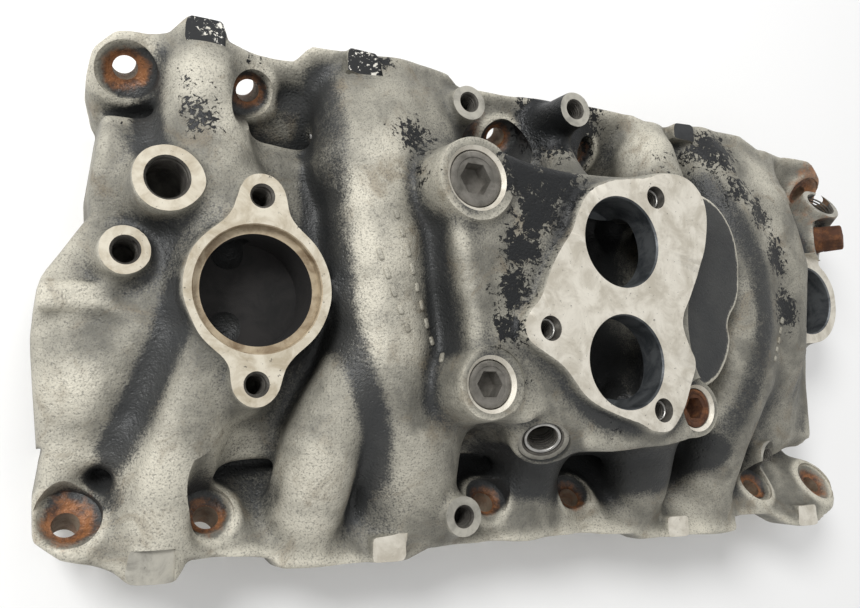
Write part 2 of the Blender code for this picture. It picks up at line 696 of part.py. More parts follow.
def make_square_plug():
    axis = Vector(SQUARE_PLUG_AXIS).normalized()
    start = Vector(SQUARE_PLUG_MOUTH) - axis * SQUARE_PLUG_THREAD
    collar = SQUARE_PLUG_THREAD + FIT_GAP
    profile = (
        (0.0, SQUARE_PLUG_RADIUS - 1.2), (1.2, SQUARE_PLUG_RADIUS), (collar, SQUARE_PLUG_RADIUS),
        (collar + SQUARE_PLUG_COLLAR, SQUARE_PLUG_RADIUS - 0.6),
    )
    corner = SQUARE_HEAD_HALF_WIDTH * math.sqrt(2.0)
    height = SQUARE_HEAD_HEIGHT
    head_profile = ((0.0, corner), (height, corner * 0.95), (height + 1.0, corner * 0.85))
    head_start = start + axis * (collar + SQUARE_PLUG_COLLAR - 1.0)
    head = turned(head_start, axis, head_profile, 4, math.radians(20.0))
    return fuse("rear_square_head_plug", [turned(start, axis, profile, 28), head])


def make_ring(name, start, axis, length, outer, wall):
    """A plain threaded sleeve or insert."""
    ring = to_object(name, turned(start, axis, ((0.0, outer), (length, outer)), 32))
    bore = turned(start, axis, ((-OVERCUT, outer - wall), (length + OVERCUT, outer - wall)), 32)
    cut(ring, [bore])
    return ring


def make_inserts():
    pieces = []
    for number, (x, y) in enumerate(STUD_HOLES, start=1):
        length = STUD_HOLE_DEPTH - 4.0
        start = Vector((x, y, PAD_TOP - STUD_HOLE_DEPTH + FIT_GAP))
        name = f"throttle_stud_insert_{number}"
        pieces.append(make_ring(name, start, Vector((0, 0, 1)), length, STUD_HOLE_RADIUS, INSERT_WALL))
    axis = Vector(SIDE_PORT_AXIS).normalized()
    start = Vector(SIDE_PORT_MOUTH) - axis * (SIDE_PORT_DEPTH - FIT_GAP)
    length = SIDE_PORT_DEPTH - 1.0
    pieces.append(make_ring("side_port_sleeve", start, axis, length, SIDE_PORT_RADIUS, SLEEVE_WALL))
    return pieces


def make_shield():
    """Folded sheet with turned-up long edges, riveted under the exhaust crossover."""
    middle = THROTTLE_X - 12.0
    half_length, half_width = SHIELD_LENGTH / 2, SHIELD_WIDTH / 2
    wall = SHIELD_THICKNESS
    low = SHIELD_HEIGHT
    section = (
        (-half_length, low + SHIELD_FLANGE), (-half_length, low),
        (half_length, low), (half_length, low + SHIELD_FLANGE),
        (half_length - wall, low + SHIELD_FLANGE), (half_length - wall, low + wall),
        (wall - half_length, low + wall), (wall - half_length, low + SHIELD_FLANGE),
    )
    rings = [[Vector((middle + x, y, z)) for x, z in section] for y in (-half_width, half_width)]
    shield = to_object("splash_shield", loft(rings))
    holes = []
    hole_low, hole_high = low - OVERCUT, low + wall + OVERCUT
    for x, y in rivet_places():
        holes.append(upright(x, y, hole_low, hole_high, RIVET_SHANK_RADIUS + FIT_GAP, segments=16))
    cut(shield, holes)
    return shield


def make_rivets():
    pieces = []
    head_top = SHIELD_HEIGHT - FIT_GAP
    profile = (
        (0.0, RIVET_HEAD_RADIUS * 0.45), (RIVET_HEAD_HEIGHT * 0.45, RIVET_HEAD_RADIUS * 0.85),
        (RIVET_HEAD_HEIGHT, RIVET_HEAD_RADIUS), (RIVET_HEAD_HEIGHT + 0.01, RIVET_SHANK_RADIUS),
        (RIVET_HEAD_HEIGHT + RIVET_SHANK_LENGTH, RIVET_SHANK_RADIUS),
    )
    for number, (x, y) in enumerate(rivet_places(), start=1):
        start = Vector((x, y, head_top - RIVET_HEAD_HEIGHT))
        rivet = turned(start, Vector((0, 0, 1)), profile, 16)
        pieces.append(to_object(f"splash_shield_rivet_{number}", rivet))
    return pieces


# Materials


def make_material(name, color, roughness, metallic):
    material = bpy.data.materials.new(name)
    material.use_nodes = True
    shader = material.node_tree.nodes["Principled BSDF"]
    shader.inputs["Base Color"].default_value = (*color, 1.0)
    shader.inputs["Roughness"].default_value = roughness
    shader.inputs["Metallic"].default_value = metallic
    return material


def finish(pieces, material):
    for piece in pieces:
        piece.data.materials.clear()
        piece.data.materials.append(material)
        piece.data.shade_smooth()
        piece.data.set_sharp_from_angle(angle=math.radians(32.0))


def main():
    for old in list(bpy.data.objects):
        bpy.data.objects.remove(old)
    cast = make_material("cast_aluminium", (0.42, 0.40, 0.36), 0.6, 0.55)
    plug_steel = make_material("plug_steel", (0.30, 0.29, 0.27), 0.5, 0.8)
    rusty_steel = make_material("rusty_steel", (0.20, 0.08, 0.04), 0.85, 0.2)
    bright_steel = make_material("bright_steel", (0.55, 0.55, 0.54), 0.3, 1.0)
    shield_steel = make_material("shield_steel", (0.22, 0.21, 0.20), 0.6, 0.7)
    finish([make_casting()], cast)
    finish([make_socket_plug(*SOCKET_PLUGS[0]), make_socket_plug(*SOCKET_PLUGS[1])], plug_steel)
    finish([make_socket_plug(*SOCKET_PLUGS[2]), make_square_plug()], rusty_steel)
    finish(make_inserts(), bright_steel)
    finish([make_shield()] + make_rivets(), shield_steel)


main()
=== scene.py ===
"""Looks of a cast-aluminium intake manifold: the rough casting, its machined faces, plugs and shield.

The rough casting is built up as one distance field, as a pattern maker would build it from limbs,
drums and plates with fillets between them. It is meshed, machined with crisp cutters, and then
weathered, with painted shade in its hollows and a painted highlight along its front ridge.
Sizes here are in millimetres, in the CAD frame, and become metres as meshes are made.
"""

import json
import math

import bmesh
import bpy
import numpy as np
from mathutils import Matrix, Vector
from mathutils.bvhtree import BVHTree

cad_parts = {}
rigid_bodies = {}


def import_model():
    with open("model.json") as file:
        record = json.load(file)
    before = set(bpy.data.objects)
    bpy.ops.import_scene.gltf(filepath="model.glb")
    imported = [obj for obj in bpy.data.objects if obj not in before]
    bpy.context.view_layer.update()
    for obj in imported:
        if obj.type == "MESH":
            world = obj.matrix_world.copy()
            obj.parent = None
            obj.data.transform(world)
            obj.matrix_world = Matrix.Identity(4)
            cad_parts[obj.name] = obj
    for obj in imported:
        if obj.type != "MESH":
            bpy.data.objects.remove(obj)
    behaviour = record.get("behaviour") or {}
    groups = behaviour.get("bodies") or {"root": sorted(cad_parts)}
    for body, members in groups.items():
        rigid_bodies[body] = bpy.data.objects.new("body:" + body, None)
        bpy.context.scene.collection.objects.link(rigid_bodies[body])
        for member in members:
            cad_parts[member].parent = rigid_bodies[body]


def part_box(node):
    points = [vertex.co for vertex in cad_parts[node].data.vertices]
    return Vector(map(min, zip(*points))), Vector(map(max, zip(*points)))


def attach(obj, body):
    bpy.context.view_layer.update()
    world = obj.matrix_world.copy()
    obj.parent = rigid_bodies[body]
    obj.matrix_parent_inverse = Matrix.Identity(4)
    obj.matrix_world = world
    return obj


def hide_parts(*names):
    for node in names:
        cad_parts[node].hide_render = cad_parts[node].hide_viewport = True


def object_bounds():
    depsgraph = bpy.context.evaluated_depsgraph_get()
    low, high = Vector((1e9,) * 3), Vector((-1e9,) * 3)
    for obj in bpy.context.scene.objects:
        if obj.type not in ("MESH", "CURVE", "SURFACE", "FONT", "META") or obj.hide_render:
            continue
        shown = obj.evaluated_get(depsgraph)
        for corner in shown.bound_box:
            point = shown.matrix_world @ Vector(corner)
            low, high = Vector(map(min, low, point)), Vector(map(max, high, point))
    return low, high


for old in list(bpy.data.objects):
    bpy.data.objects.remove(old)
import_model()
CAD_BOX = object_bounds()
MM = 0.001

# Head flanges and their bolts
FACE_SLOPE = math.radians(35.0)
BOLT_LINE = 93.5               # engine centre plane to the bolt seats
SEAT_HEIGHT = 34.0
FLANGE_THICKNESS = 15.0
ROW_CENTRE = -4.0
BANK_STAGGER = 11.0
END_BOLT, SECOND_BOLT, CENTRE_BOLT = 212.5, 159.6, 26.0
BOLT_HOLE = 5.2
PORT_LINE = 92.0
INNER_PORT, OUTER_PORT = 67.0, 117.0
PORT_WIDTH, PORT_HEIGHT = 30.0, 34.0
WATER_PORT = 186.0

# Throttle pad
THROTTLE = (12.0, -0.7)
BORE_SPACING = 56.6
BORE_RADIUS = 21.5
GROOVE_DEPTH = 0.16            # of the boring bar's marks
PAD_TOP = 93.8
DECK_TOP = 88.8
LOBE_TOP = 79.0

# Thermostat housing
THERMOSTAT = (-152.2, -2.4)
THERMOSTAT_TOP = 63.4
THERMOSTAT_RIM = 30.5
THERMOSTAT_SEAT = 27.1
THERMOSTAT_BORE = 23.4
OUTLET_SPACING = 77.7
OUTLET_LOBE = 9.5
OUTLET_HOLE = 4.3

# Bosses: x, y, top, radius, hole radius, hole depth
HEATER_BOSS = (-190.0, 39.5, 62.0, 13.6, 8.4, 24.0)
SENDER_BOSS = (-203.0, 11.0, 52.0, 9.8, 5.2, 20.0)
BRACKET_BOSSES = (
    (-54.0, -98.0, 56.0, 8.6, 4.4, 15.0),
    (-52.0, 97.0, 62.0, 8.6, 4.4, 15.0),
    (4.0, 100.0, 72.0, 8.8, 4.6, 17.0),
    (151.0, -75.0, 52.0, 8.0, 3.6, 13.0),
)
DISTRIBUTOR = (201.0, 19.0, 47.0, 26.5, 20.5)

# Leaning ports: mouth, direction, boss radius, hole radius, depth
REAR_PORT = ((214.0, 82.0, 52.0), (-0.05, 0.55, 0.83), 12.6, 8.6, 20.0)
SQUARE_PLUG = ((209.0, 58.0, 50.0), (0.5, 0.0, 0.866), 13.4, 8.7, 13.3)
SIDE_PORT = ((-24.0, -64.0, 76.0), (-0.3, -0.64, 0.71), 12.0, 8.9, 16.0)

# Socket plugs: node, boss radius above the casting
PLUG_BOSSES = (
    ("front_right_socket_plug", 18.5),
    ("front_left_socket_plug", 15.0),
    ("rear_left_socket_plug", 13.5),
)
PLUG_SETBACK = 1.2
STUD_INSERTS = ("throttle_stud_insert_1", "throttle_stud_insert_2", "throttle_stud_insert_3")
INSERT_BORE = 3.9
SLEEVE_OUTER, SLEEVE_BORE, SLEEVE_LENGTH = 8.6, 7.0, 15.0
SQUARE_THREAD_RADIUS, SQUARE_THREAD_LENGTH = 8.4, 13.0
SQUARE_COLLAR, SQUARE_HALF_WIDTH, SQUARE_HEIGHT = 4.0, 6.0, 11.0
SOCKET_SHARE = 0.52            # across-flats half width of a plug's socket over its radius
SOCKET_DEPTH = 8.0

# Splash shield under the valley floor, and its rivets
SHIELD_LOW, SHIELD_WALL, SHIELD_FLANGE = 7.0, 1.2, 4.0
SHIELD_TOP = SHIELD_LOW + SHIELD_WALL
RIVET_SPAN = (78.0, 56.0)
RIVET_PLACES = tuple((column * RIVET_SPAN[0] / 2, side * RIVET_SPAN[1] / 2)
                     for column in (-1, 1) for side in (-1, 1))
RIVET_POST = 5.5
RIVET_HEAD, RIVET_RISE, RIVET_SHANK, RIVET_LENGTH = 4.4, 2.2, 2.0, 9.0
FIT_GAP = 0.3

# Locating pads on the outer edges of the flanges: bank, reach along the row, top, finish
LOCATING_PADS = (
    (1, -183.5, 51.0, "flecked_face"), (1, -111.0, 53.0, "flecked_face"), (1, 89.0, 54.0, "painted_face"),
    (-1, -84.5, 50.0, "machined_face"), (-1, 83.5, 50.0, "machined_face"), (-1, -183.0, 48.0, "worn_face"),
    (-1, 187.5, 48.0, "machined_face"),
)
PAD_REACH = 7.5                # half length of a pad along the row
CASTING_TRIANGLES = 195000      # in the rough casting; the machining takes some away

GRID_PITCH = 1.5
FAR = 40.0                     # distance that empty space starts with
STOCK = 1.8                    # extra metal left on a rough face before it is machined
TOOL_ROOM = 14.0               # how far a cutter clears the air above the face that it leaves
ROUND = 96                     # sides of a large bore


# The rough casting as a distance field


def grid_lines():
    low, high = [[c / MM for c in corner] for corner in CAD_BOX]
    return [np.arange(a - 4 * GRID_PITCH, b + 4 * GRID_PITCH, GRID_PITCH, dtype=np.float32)
            for a, b in zip(low, high)]


LINES = grid_lines()
FIELD = np.full([len(line) for line in LINES], FAR, np.float32)


def window(low, high, margin):
    """Where a box lies in the grid, and the coordinates there."""
    slices, spans = [], []
    for axis, line in enumerate(LINES):
        first, last = np.searchsorted(line, (low[axis] - margin, high[axis] + margin))
        shape = [1, 1, 1]
        shape[axis] = -1
        slices.append(slice(int(first), int(last)))
        spans.append(line[first:last].reshape(shape))
    return tuple(slices), spans


def add(shape, fillet=4.0):
    """Join a shape to the casting with a fillet where they meet."""
    low, high, distance = shape
    where, (x, y, z) = window(low, high, fillet + 4.0)
    made = distance(x, y, z)
    old = FIELD[where]
    blend = np.clip(0.5 + 0.5 * (made - old) / fillet, 0.0, 1.0)
    FIELD[where] = made * (1 - blend) + old * blend - fillet * blend * (1 - blend)


def carve(shape, fillet=2.0):
    """Take a shape away, with a rounded edge."""
    low, high, distance = shape
    where, (x, y, z) = window(low, high, fillet + 4.0)
    made = -distance(x, y, z)
    old = FIELD[where]
    blend = np.clip(0.5 - 0.5 * (made - old) / fillet, 0.0, 1.0)
    FIELD[where] = made * (1 - blend) + old * blend + fillet * blend * (1 - blend)


def limb(points, radii, height_share=1.0):
    """A round limb through points, with its own radius at each one."""
    points = np.array(points, float)
    radii = np.array(radii, float) if np.ndim(radii) else np.full(len(points), float(radii))
    reach = float(radii.max())

    def distance(x, y, z):
        best = None
        for a, b, ra, rb in zip(points, points[1:], radii, radii[1:]):
            run = b - a
            share = ((x - a[0]) * run[0] + (y - a[1]) * run[1] + (z - a[2]) * run[2]) / (run @ run)
            share = np.clip(share, 0.0, 1.0)
            off = (x - a[0] - share * run[0]) ** 2 + (y - a[1] - share * run[1]) ** 2
            off = off + ((z - a[2] - share * run[2]) / height_share) ** 2
            found = np.sqrt(off) - (ra + share * (rb - ra))
            best = found if best is None else np.minimum(best, found)
        return best

    return points.min(0) - reach, points.max(0) + reach, distance


def rounded(outer, upright, edge):
    """Distance to what lies inside two limits at once, with a rounded rim."""
    a = np.maximum(outer + edge, 0.0)
    b = np.maximum(upright + edge, 0.0)
    return np.minimum(np.maximum(outer, upright) + edge, 0.0) + np.sqrt(a * a + b * b) - edge


def outline_distance(outline, x, y):
    """Signed distance in plan from a closed outline."""
    near = np.full(np.broadcast(x, y).shape, 1e9, np.float32)
    inside = np.zeros(near.shape, bool)
    for (ax, ay), (bx, by) in zip(outline, outline[1:] + outline[:1]):
        run_x, run_y = bx - ax, by - ay
        share = ((x - ax) * run_x + (y - ay) * run_y) / (run_x * run_x + run_y * run_y)
        share = np.clip(share, 0.0, 1.0)
        near = np.minimum(near, (x - ax - share * run_x) ** 2 + (y - ay - share * run_y) ** 2)
        if run_y:
            crosses = ((ay > y) != (by > y)) & (x < run_x * (y - ay) / run_y + ax)
            inside ^= crosses
    return np.where(inside, -np.sqrt(near), np.sqrt(near))


def softened(outline, rounds=2):
    """Cut each corner of an outline back by a quarter, over and over."""
    for _ in range(rounds):
        softer = []
        for (ax, ay), (bx, by) in zip(outline, outline[1:] + outline[:1]):
            softer.append((0.75 * ax + 0.25 * bx, 0.75 * ay + 0.25 * by))
            softer.append((0.25 * ax + 0.75 * bx, 0.25 * ay + 0.75 * by))
        outline = softer
    return outline


def plate(outline, low, high, edge=3.0, draft=0.0, rounds=0):
    """An outline raised between two heights, wider below by its draft."""
    outline = softened([(float(x), float(y)) for x, y in outline], rounds)
    spread = draft * (high - low)
    corner_low = (min(x for x, _ in outline) - spread, min(y for _, y in outline) - spread, low)
    corner_high = (max(x for x, _ in outline) + spread, max(y for _, y in outline) + spread, high)

    def distance(x, y, z):
        outer = outline_distance(outline, x, y) - draft * (high - z)
        return rounded(outer, np.abs(z - (low + high) / 2) - (high - low) / 2, edge)

    return corner_low, corner_high, distance


def drum(x0, y0, low, high, radius, edge=1.5, draft=0.0):
    """An upright round boss."""
    spread = radius + draft * (high - low)

    def distance(x, y, z):
        outer = np.sqrt((x - x0) ** 2 + (y - y0) ** 2) - radius - draft * (high - z)
        return rounded(outer, np.abs(z - (low + high) / 2) - (high - low) / 2, edge)

    return (x0 - spread, y0 - spread, low), (x0 + spread, y0 + spread, high), distance


def leaning_drum(mouth, axis, radius, length, edge=1.5, draft=0.06, proud=0.0):
    """A round boss square to an axis, ending at its mouth."""
    axis = np.array(Vector(axis).normalized())
    mouth = np.array(mouth, float) + axis * proud
    foot = mouth - axis * length
    reach = radius + draft * length

    def distance(x, y, z):
        along = (x - mouth[0]) * axis[0] + (y - mouth[1]) * axis[1] + (z - mouth[2]) * axis[2]
        square = (x - mouth[0]) ** 2 + (y - mouth[1]) ** 2 + (z - mouth[2]) ** 2 - along * along
        outer = np.sqrt(np.maximum(square, 0.0)) - radius + draft * along
        return rounded(outer, np.abs(along + length / 2) - length / 2, edge)

    return np.minimum(mouth, foot) - reach, np.maximum(mouth, foot) + reach, distance


def rectangle(low, high):
    return [(low[0], low[1]), (high[0], low[1]), (high[0], high[1]), (low[0], high[1])]


def node_box(node):
    return [[c / MM for c in corner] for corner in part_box(node)]


def upright(node):
    """An upright round node's x, y, bottom, top and radius."""
    low, high = node_box(node)
    return (low[0] + high[0]) / 2, (low[1] + high[1]) / 2, low[2], high[2], (high[0] - low[0]) / 2


def cuboid(low, high, edge=3.0):
    return plate(rectangle(low, high), low[2], high[2], edge)


# Places on the head flanges


def bank_x(bank, reach):
    return ROW_CENTRE + reach + (BANK_STAGGER if bank > 0 else 0.0)


def bolt_axis(bank):
    return Vector((0, bank * math.sin(FACE_SLOPE), -math.cos(FACE_SLOPE)))


def face_height(half_width):
    on_face = BOLT_LINE + FLANGE_THICKNESS * math.sin(FACE_SLOPE)
    level = SEAT_HEIGHT - FLANGE_THICKNESS * math.cos(FACE_SLOPE)
    return level + (half_width - on_face) * math.tan(FACE_SLOPE)


def above_face(y, z):
    """Distance above the mating faces, square to them."""
    return (z - face_height(np.abs(y))) * math.cos(FACE_SLOPE)


def seat_point(bank, reach):
    return Vector((bank_x(bank, reach), bank * BOLT_LINE, SEAT_HEIGHT))


def port_point(bank, reach):
    return Vector((bank_x(bank, reach), bank * PORT_LINE, face_height(PORT_LINE)))


def bolt_seats():
    """Each flange bolt: its seat, its bank and its reach."""
    places = []
    for bank in (-1, 1):
        for reach in (END_BOLT, SECOND_BOLT, CENTRE_BOLT):
            for end in (-1, 1):
                places.append((seat_point(bank, end * reach), bank, end * reach))
    return places


# Outer edges of the two flanges, front to rear, as x and half width
LEFT_EDGE = (
    (-216, 58), (-227, 66), (-229, 84), (-228, 100), (-218, 107), (-200, 112.5), (-194, 117.5),
    (-177, 117.5), (-172, 110), (-140, 112), (-135, 117), (-79, 117), (-67, 112.5), (-13, 114),
    (0, 112.5), (53, 114.5), (60, 117.5), (126, 117.5), (129, 110), (158, 110), (171, 117.5),
    (191, 117.5), (213, 110), (221, 98), (216, 84), (200, 74), (199, 58),
)
RIGHT_EDGE = (
    (-216, 58), (-217, 75), (-221.5, 87), (-219.5, 99), (-211, 107), (-190, 110), (-184, 116.5),
    (-168, 116.5), (-165, 109), (-134, 110), (-127.5, 117.5), (-57, 117.5), (-49, 113.5), (6, 116),
    (30, 117.5), (63, 117.5), (70, 114), (89, 115), (112, 117.5), (144, 117.5), (158, 110.5),
    (190, 113.5), (218, 115.5), (231, 104), (233, 92), (226, 80), (210, 74), (206, 58),
)
DECK = (
    (-78, 52), (-73, 64), (-58, 67), (-31, 61), (4, 61), (58, 65), (70, 57), (68, 34), (60, 8),
    (58, -14), (64, -36), (79, -50), (62, -65), (8, -70), (-26, -67), (-43, -55), (-62, -54),
    (-70, -40), (-66, -17), (-73, 12),
)
PAD = (
    (-6, 51), (2, 56), (25, 61), (43, 66), (58, 65), (67, 55), (67, 39), (63, 23), (54, 5), (46, -8),
    (51, -20), (56, -28), (50, -40), (45, -52), (37, -61), (26, -62), (17, -57), (0, -52), (-11, -47),
    (-19, -39), (-25, -32), (-37, -26), (-45, -19), (-43, -9), (-35, -2), (-31, 8), (-24, 20),
    (-17, 30), (-13, 42),
)
LOBE = (
    (60, 66), (80, 65), (93, 60), (103, 47), (107, 30), (105, 8), (94, -4), (97, -14), (92, -26),
    (82, -38), (60, -40),
)
SKIRT = (
    (-214, 72), (-217, 40), (-216, 28), (-226, 12), (-233, 2), (-235, -22), (-231, -50), (-228, -72),
    (-150, -72), (-110, -60), (-110, 60), (-150, 72),
)


def flange(bank, edge_points):
    outline = softened([(float(x), bank * float(w)) for x, w in edge_points], 1)
    slab_low, slab_high = -STOCK, FLANGE_THICKNESS - 1.0

    def distance(x, y, z):
        upright = np.abs(above_face(y, z) - (slab_low + slab_high) / 2) - (slab_high - slab_low) / 2
        return rounded(outline_distance(outline, x, y), upright, 2.0)

    ys = sorted(y for _, y in outline)
    return (-236, ys[0], 0), (236, ys[-1], 60), distance


def build_flanges():
    add(flange(-1, LEFT_EDGE), 1.0)
    add(flange(1, RIGHT_EDGE), 1.0)
    for bank in (-1, 1):
        foot = bank * 65.0
        add(cuboid((-212, min(foot - 6, foot + 6), -STOCK), (200, max(foot - 6, foot + 6), 32), 2.0), 4.0)
    for seat, bank, reach in bolt_seats():
        radius, length = (16.0, 13.0) if abs(reach) == END_BOLT else (13.5, 11.0)
        add(leaning_drum(seat, -bolt_axis(bank), radius, length, 3.0, 0.05, STOCK), 7.0)


def build_frame():
    """Valley floor, end rails and the skirt that flares out at the front."""
    add(cuboid((-214, -62, 28), (192, 62, 36), 2.0), 8.0)
    add(plate(SKIRT, 10, 33, 4.0, 0.0, 1), 6.0)
    add(cuboid((-222, -70, -STOCK), (-204, 70, 34), 2.0), 5.0)
    add(cuboid((186, -70, -STOCK), (205, 70, 32), 2.0), 5.0)
    add(plate([(-234, -2), (-234, -13), (-205, -11), (-205, -1)], 16, 42, 2.5), 5.0)
    add(cuboid((176, -66, 28), (204, 76, 40), 4.0), 8.0)


def build_front():
    """Water crossover, thermostat tower and the front bosses."""
    x, y = THERMOSTAT
    left = [(-184, -108, 34), (-183, -88, 35), (-178, -60, 38), (-168, -30, 40), (x, y, 42)]
    right = [(-174, 108, 36), (-174, 90, 38), (-172, 62, 39), (-163, 30, 40), (x, y, 42)]
    add(limb(left, [15, 17, 19, 21, 24]), 12.0)
    add(limb(right, [16, 18, 20, 22, 24]), 12.0)
    add(limb([(-208, -40, 26), (-190, -20, 30), (-178, 20, 30), (-205, 52, 26)], [14, 16, 16, 13]), 14.0)
    add(limb([(-222, -88, 22), (-221, -60, 24), (-221, -30, 25), (-216, 20, 22), (-212, 60, 20)], 11), 8.0)
    add(drum(x, y, 26, THERMOSTAT_TOP - 7, THERMOSTAT_RIM - 2.5, 2.0, 0.25), 10.0)
    for end in (-1, 1):
        lobe_y = y + end * OUTLET_SPACING / 2
        add(drum(x, lobe_y, 30, THERMOSTAT_TOP - 5, OUTLET_LOBE - 1.0, 2.0, 0.22), 9.0)
    add(outlet_flange(), 2.0)
    for x, y, top, radius, _hole, _depth in (HEATER_BOSS, SENDER_BOSS):
        add(drum(x, y, 20, top + STOCK, radius, 1.2, 0.06), 7.0)


def outlet_flange():
    """The water outlet flange: a round rim and two bolt lobes, drawn together by hollow flanks."""
    x0, y0 = THERMOSTAT
    low, high = THERMOSTAT_TOP - 8.5, THERMOSTAT_TOP + STOCK
    offset, hollow = OUTLET_SPACING / 2, 15.0
    reach = offset + OUTLET_LOBE + 4.0

    def distance(x, y, z):
        rim = np.sqrt((x - x0) ** 2 + (y - y0) ** 2) - THERMOSTAT_RIM
        lobes = np.sqrt((x - x0) ** 2 + (np.abs(y - y0) - offset) ** 2) - OUTLET_LOBE
        blend = np.clip(0.5 + 0.5 * (lobes - rim) / hollow, 0.0, 1.0)
        outer = rim * blend + lobes * (1 - blend) - hollow * blend * (1 - blend) - 0.04 * (high - z)
        return rounded(outer, np.abs(z - (low + high) / 2) - (high - low) / 2, 1.2)

    return (x0 - THERMOSTAT_RIM - 5, y0 - reach, low), (x0 + THERMOSTAT_RIM + 5, y0 + reach, high), distance


def outlet_outline(grow):
    """The water outlet flange: a round middle drawn out to two bolt lobes."""
    x, y = THERMOSTAT
    rim, lobe = THERMOSTAT_RIM + grow, OUTLET_LOBE + grow
    offset = OUTLET_SPACING / 2
    tangent = math.acos((THERMOSTAT_RIM - OUTLET_LOBE) / offset) - 0.14
    points = []
    for end in (1, -1):
        middle = math.radians(90 * end)
        for step in range(-6, 7):
            angle = middle + step * tangent / 6 * 0.95
            points.append((x + lobe * math.cos(angle), y + end * offset + lobe * math.sin(angle)))
        start, stop = middle + tangent, middle + math.pi - tangent
        for step in range(9):
            angle = start + (stop - start) * step / 8
            points.append((x + rim * math.cos(angle), y + rim * math.sin(angle)))
    return points


# Runners in the order they are joined: points along each one, its radii, and its fillet
RUNNERS = (
    (((-84, 112, 36), (-86, 92, 42), (-94, 66, 48), (-96, 36, 50), (-94, 0, 50), (-88, -36, 49),
      (-84, -60, 45), (-82, -84, 36), (-80, -110, 30)), (17, 20, 22, 22.5, 22, 21, 20, 18, 15), 12.0),
    (((-103, 112, 32), (-104, 92, 37), (-104, 62, 46)), (15, 18, 21), 9.0),
    (((-66, 112, 34), (-66, 92, 40), (-72, 62, 46)), (15, 18, 20), 9.0),
    (((-68, -110, 30), (-69, -90, 36), (-72, -62, 46)), (15, 18, 20), 9.0),
    (((-123, -110, 29), (-122, -92, 36), (-118, -66, 44), (-100, -30, 46)), (14, 17, 18, 18), 7.0),
    (((112, 112, 36), (118, 92, 43), (126, 62, 49), (130, 30, 51), (130, 0, 51), (126, -30, 50),
      (116, -60, 44), (113, -86, 36), (112, -110, 30)), (16, 19, 21.5, 22.5, 22.5, 22, 20, 18, 15), 12.0),
    (((136, 112, 38), (140, 92, 42), (140, 60, 42), (142, 20, 42), (140, -20, 40)),
     (13, 16, 17, 17, 16), 10.0),
    (((160, 106, 36), (165, 74, 42), (168, 36, 43), (167, -12, 40), (161, -58, 33)),
     (14, 21, 24, 23, 16), 22.0),
    (((74, 112, 36), (74, 92, 43), (76, 66, 48), (70, 40, 52)), (15, 18, 20, 20), 8.0),
    (((63, -110, 30), (63, -90, 36), (60, -62, 46)), (14, 17, 19), 8.0),
    (((20, 112, 36), (22, 92, 38), (22, 60, 40)), (9, 11, 12), 10.0),
    (((-6, -108, 29), (-5, -86, 31), (-4, -60, 36)), (13, 16, 18), 10.0),
    (((0, 106, 30), (1, 86, 33), (2, 60, 38)), (14, 17, 19), 10.0),
)
# Webs that tie the bracket bosses to the casting
WEBS = (
    (((-54, -98, 34), (-66, -70, 40)), (7, 8), 6.0),
    (((-52, 97, 40), (-60, 70, 46)), (7, 9), 6.0),
    (((4, 100, 44), (6, 74, 56), (6, 58, 66)), (8, 9, 10), 8.0),
    (((151, -75, 34), (140, -50, 38)), (7, 9), 8.0),
)
# Pockets between the runners
POCKETS = (
    (((-145, -86, 42), (-148, -74, 50)), (9, 10), 4.0),
    (((-160, -96, 48), (-152, -84, 52)), (12, 12), 4.0),
    (((-134, 90, 40), (-138, 76, 52)), (9.5, 10), 4.0),
    (((-152, 92, 58), (-150, 72, 64)), (13, 13), 5.0),
    (((-202, 96, 56), (-202, 62, 54)), (9, 9), 5.0),
    (((-189, -20, 58), (-198, -54, 50), (-204, -78, 49)), (8, 9, 7.5), 8.0),
    (((186, 96, 60), (188, 76, 62)), (11, 12), 8.0),
    (((-29, -100, 48), (-29, -84, 52)), (11, 12), 5.0),
    (((24, -100, 48), (24, -84, 52)), (12, 12), 5.0),
    (((-20, 100, 56), (-20, 82, 60)), (12, 14), 6.0),
)


def build_runners():
    """The front ridge, the rear hump and the runners that come out of them."""
    for points, radii, fillet in RUNNERS:
        add(limb(points, radii), fillet)


def build_pedestal():
    add(plate(DECK, 30, DECK_TOP, 5.0, 0.05, 2), 13.0)
    add(plate(LOBE, 30, LOBE_TOP, 3.0, 0.05, 2), 4.0)
    add(plate(PAD, DECK_TOP - 6, PAD_TOP + STOCK, 0.6, 0.22, 2), 3.0)
    for node, radius in PLUG_BOSSES:
        x, y, _foot, top, _bore = upright(node)
        add(drum(x, y, 34, top + PLUG_SETBACK + STOCK, radius, 1.0, 0.05), 5.0)
    mouth, axis, _radius, _hole, _depth = SIDE_PORT
    clear = 26.0
    ahead = Vector(mouth) + Vector(axis).normalized() * clear
    carve(leaning_drum(ahead, axis, 17.0, clear, 3.0, 0.0), 5.0)
    add(leaning_drum(mouth, axis, 14.5, 32.0, 3.0, 0.1, STOCK), 7.0)


def build_bosses():
    for x, y, top, radius, _hole, _depth in BRACKET_BOSSES:
        add(drum(x, y, 22, top + STOCK, radius, 1.2, 0.07), 6.0)
    for port in (REAR_PORT, SQUARE_PLUG):
        add(leaning_drum(*port[:3], 34.0, 2.0, 0.08, STOCK), 8.0)
    x, y, top, rim, _hole = DISTRIBUTOR
    add(drum(x, y, 6, top + STOCK, rim, 2.0, 0.02), 6.0)
    for points, radii, fillet in WEBS:
        add(limb(points, radii), fillet)
    for bank, reach, top, _finish in LOCATING_PADS:
        x = bank_x(bank, reach)
        low_y, high_y = sorted((bank * 105.0, bank * 117.0))
        add(cuboid((x - PAD_REACH, low_y, 30), (x + PAD_REACH, high_y, top + STOCK), 1.0), 2.5)


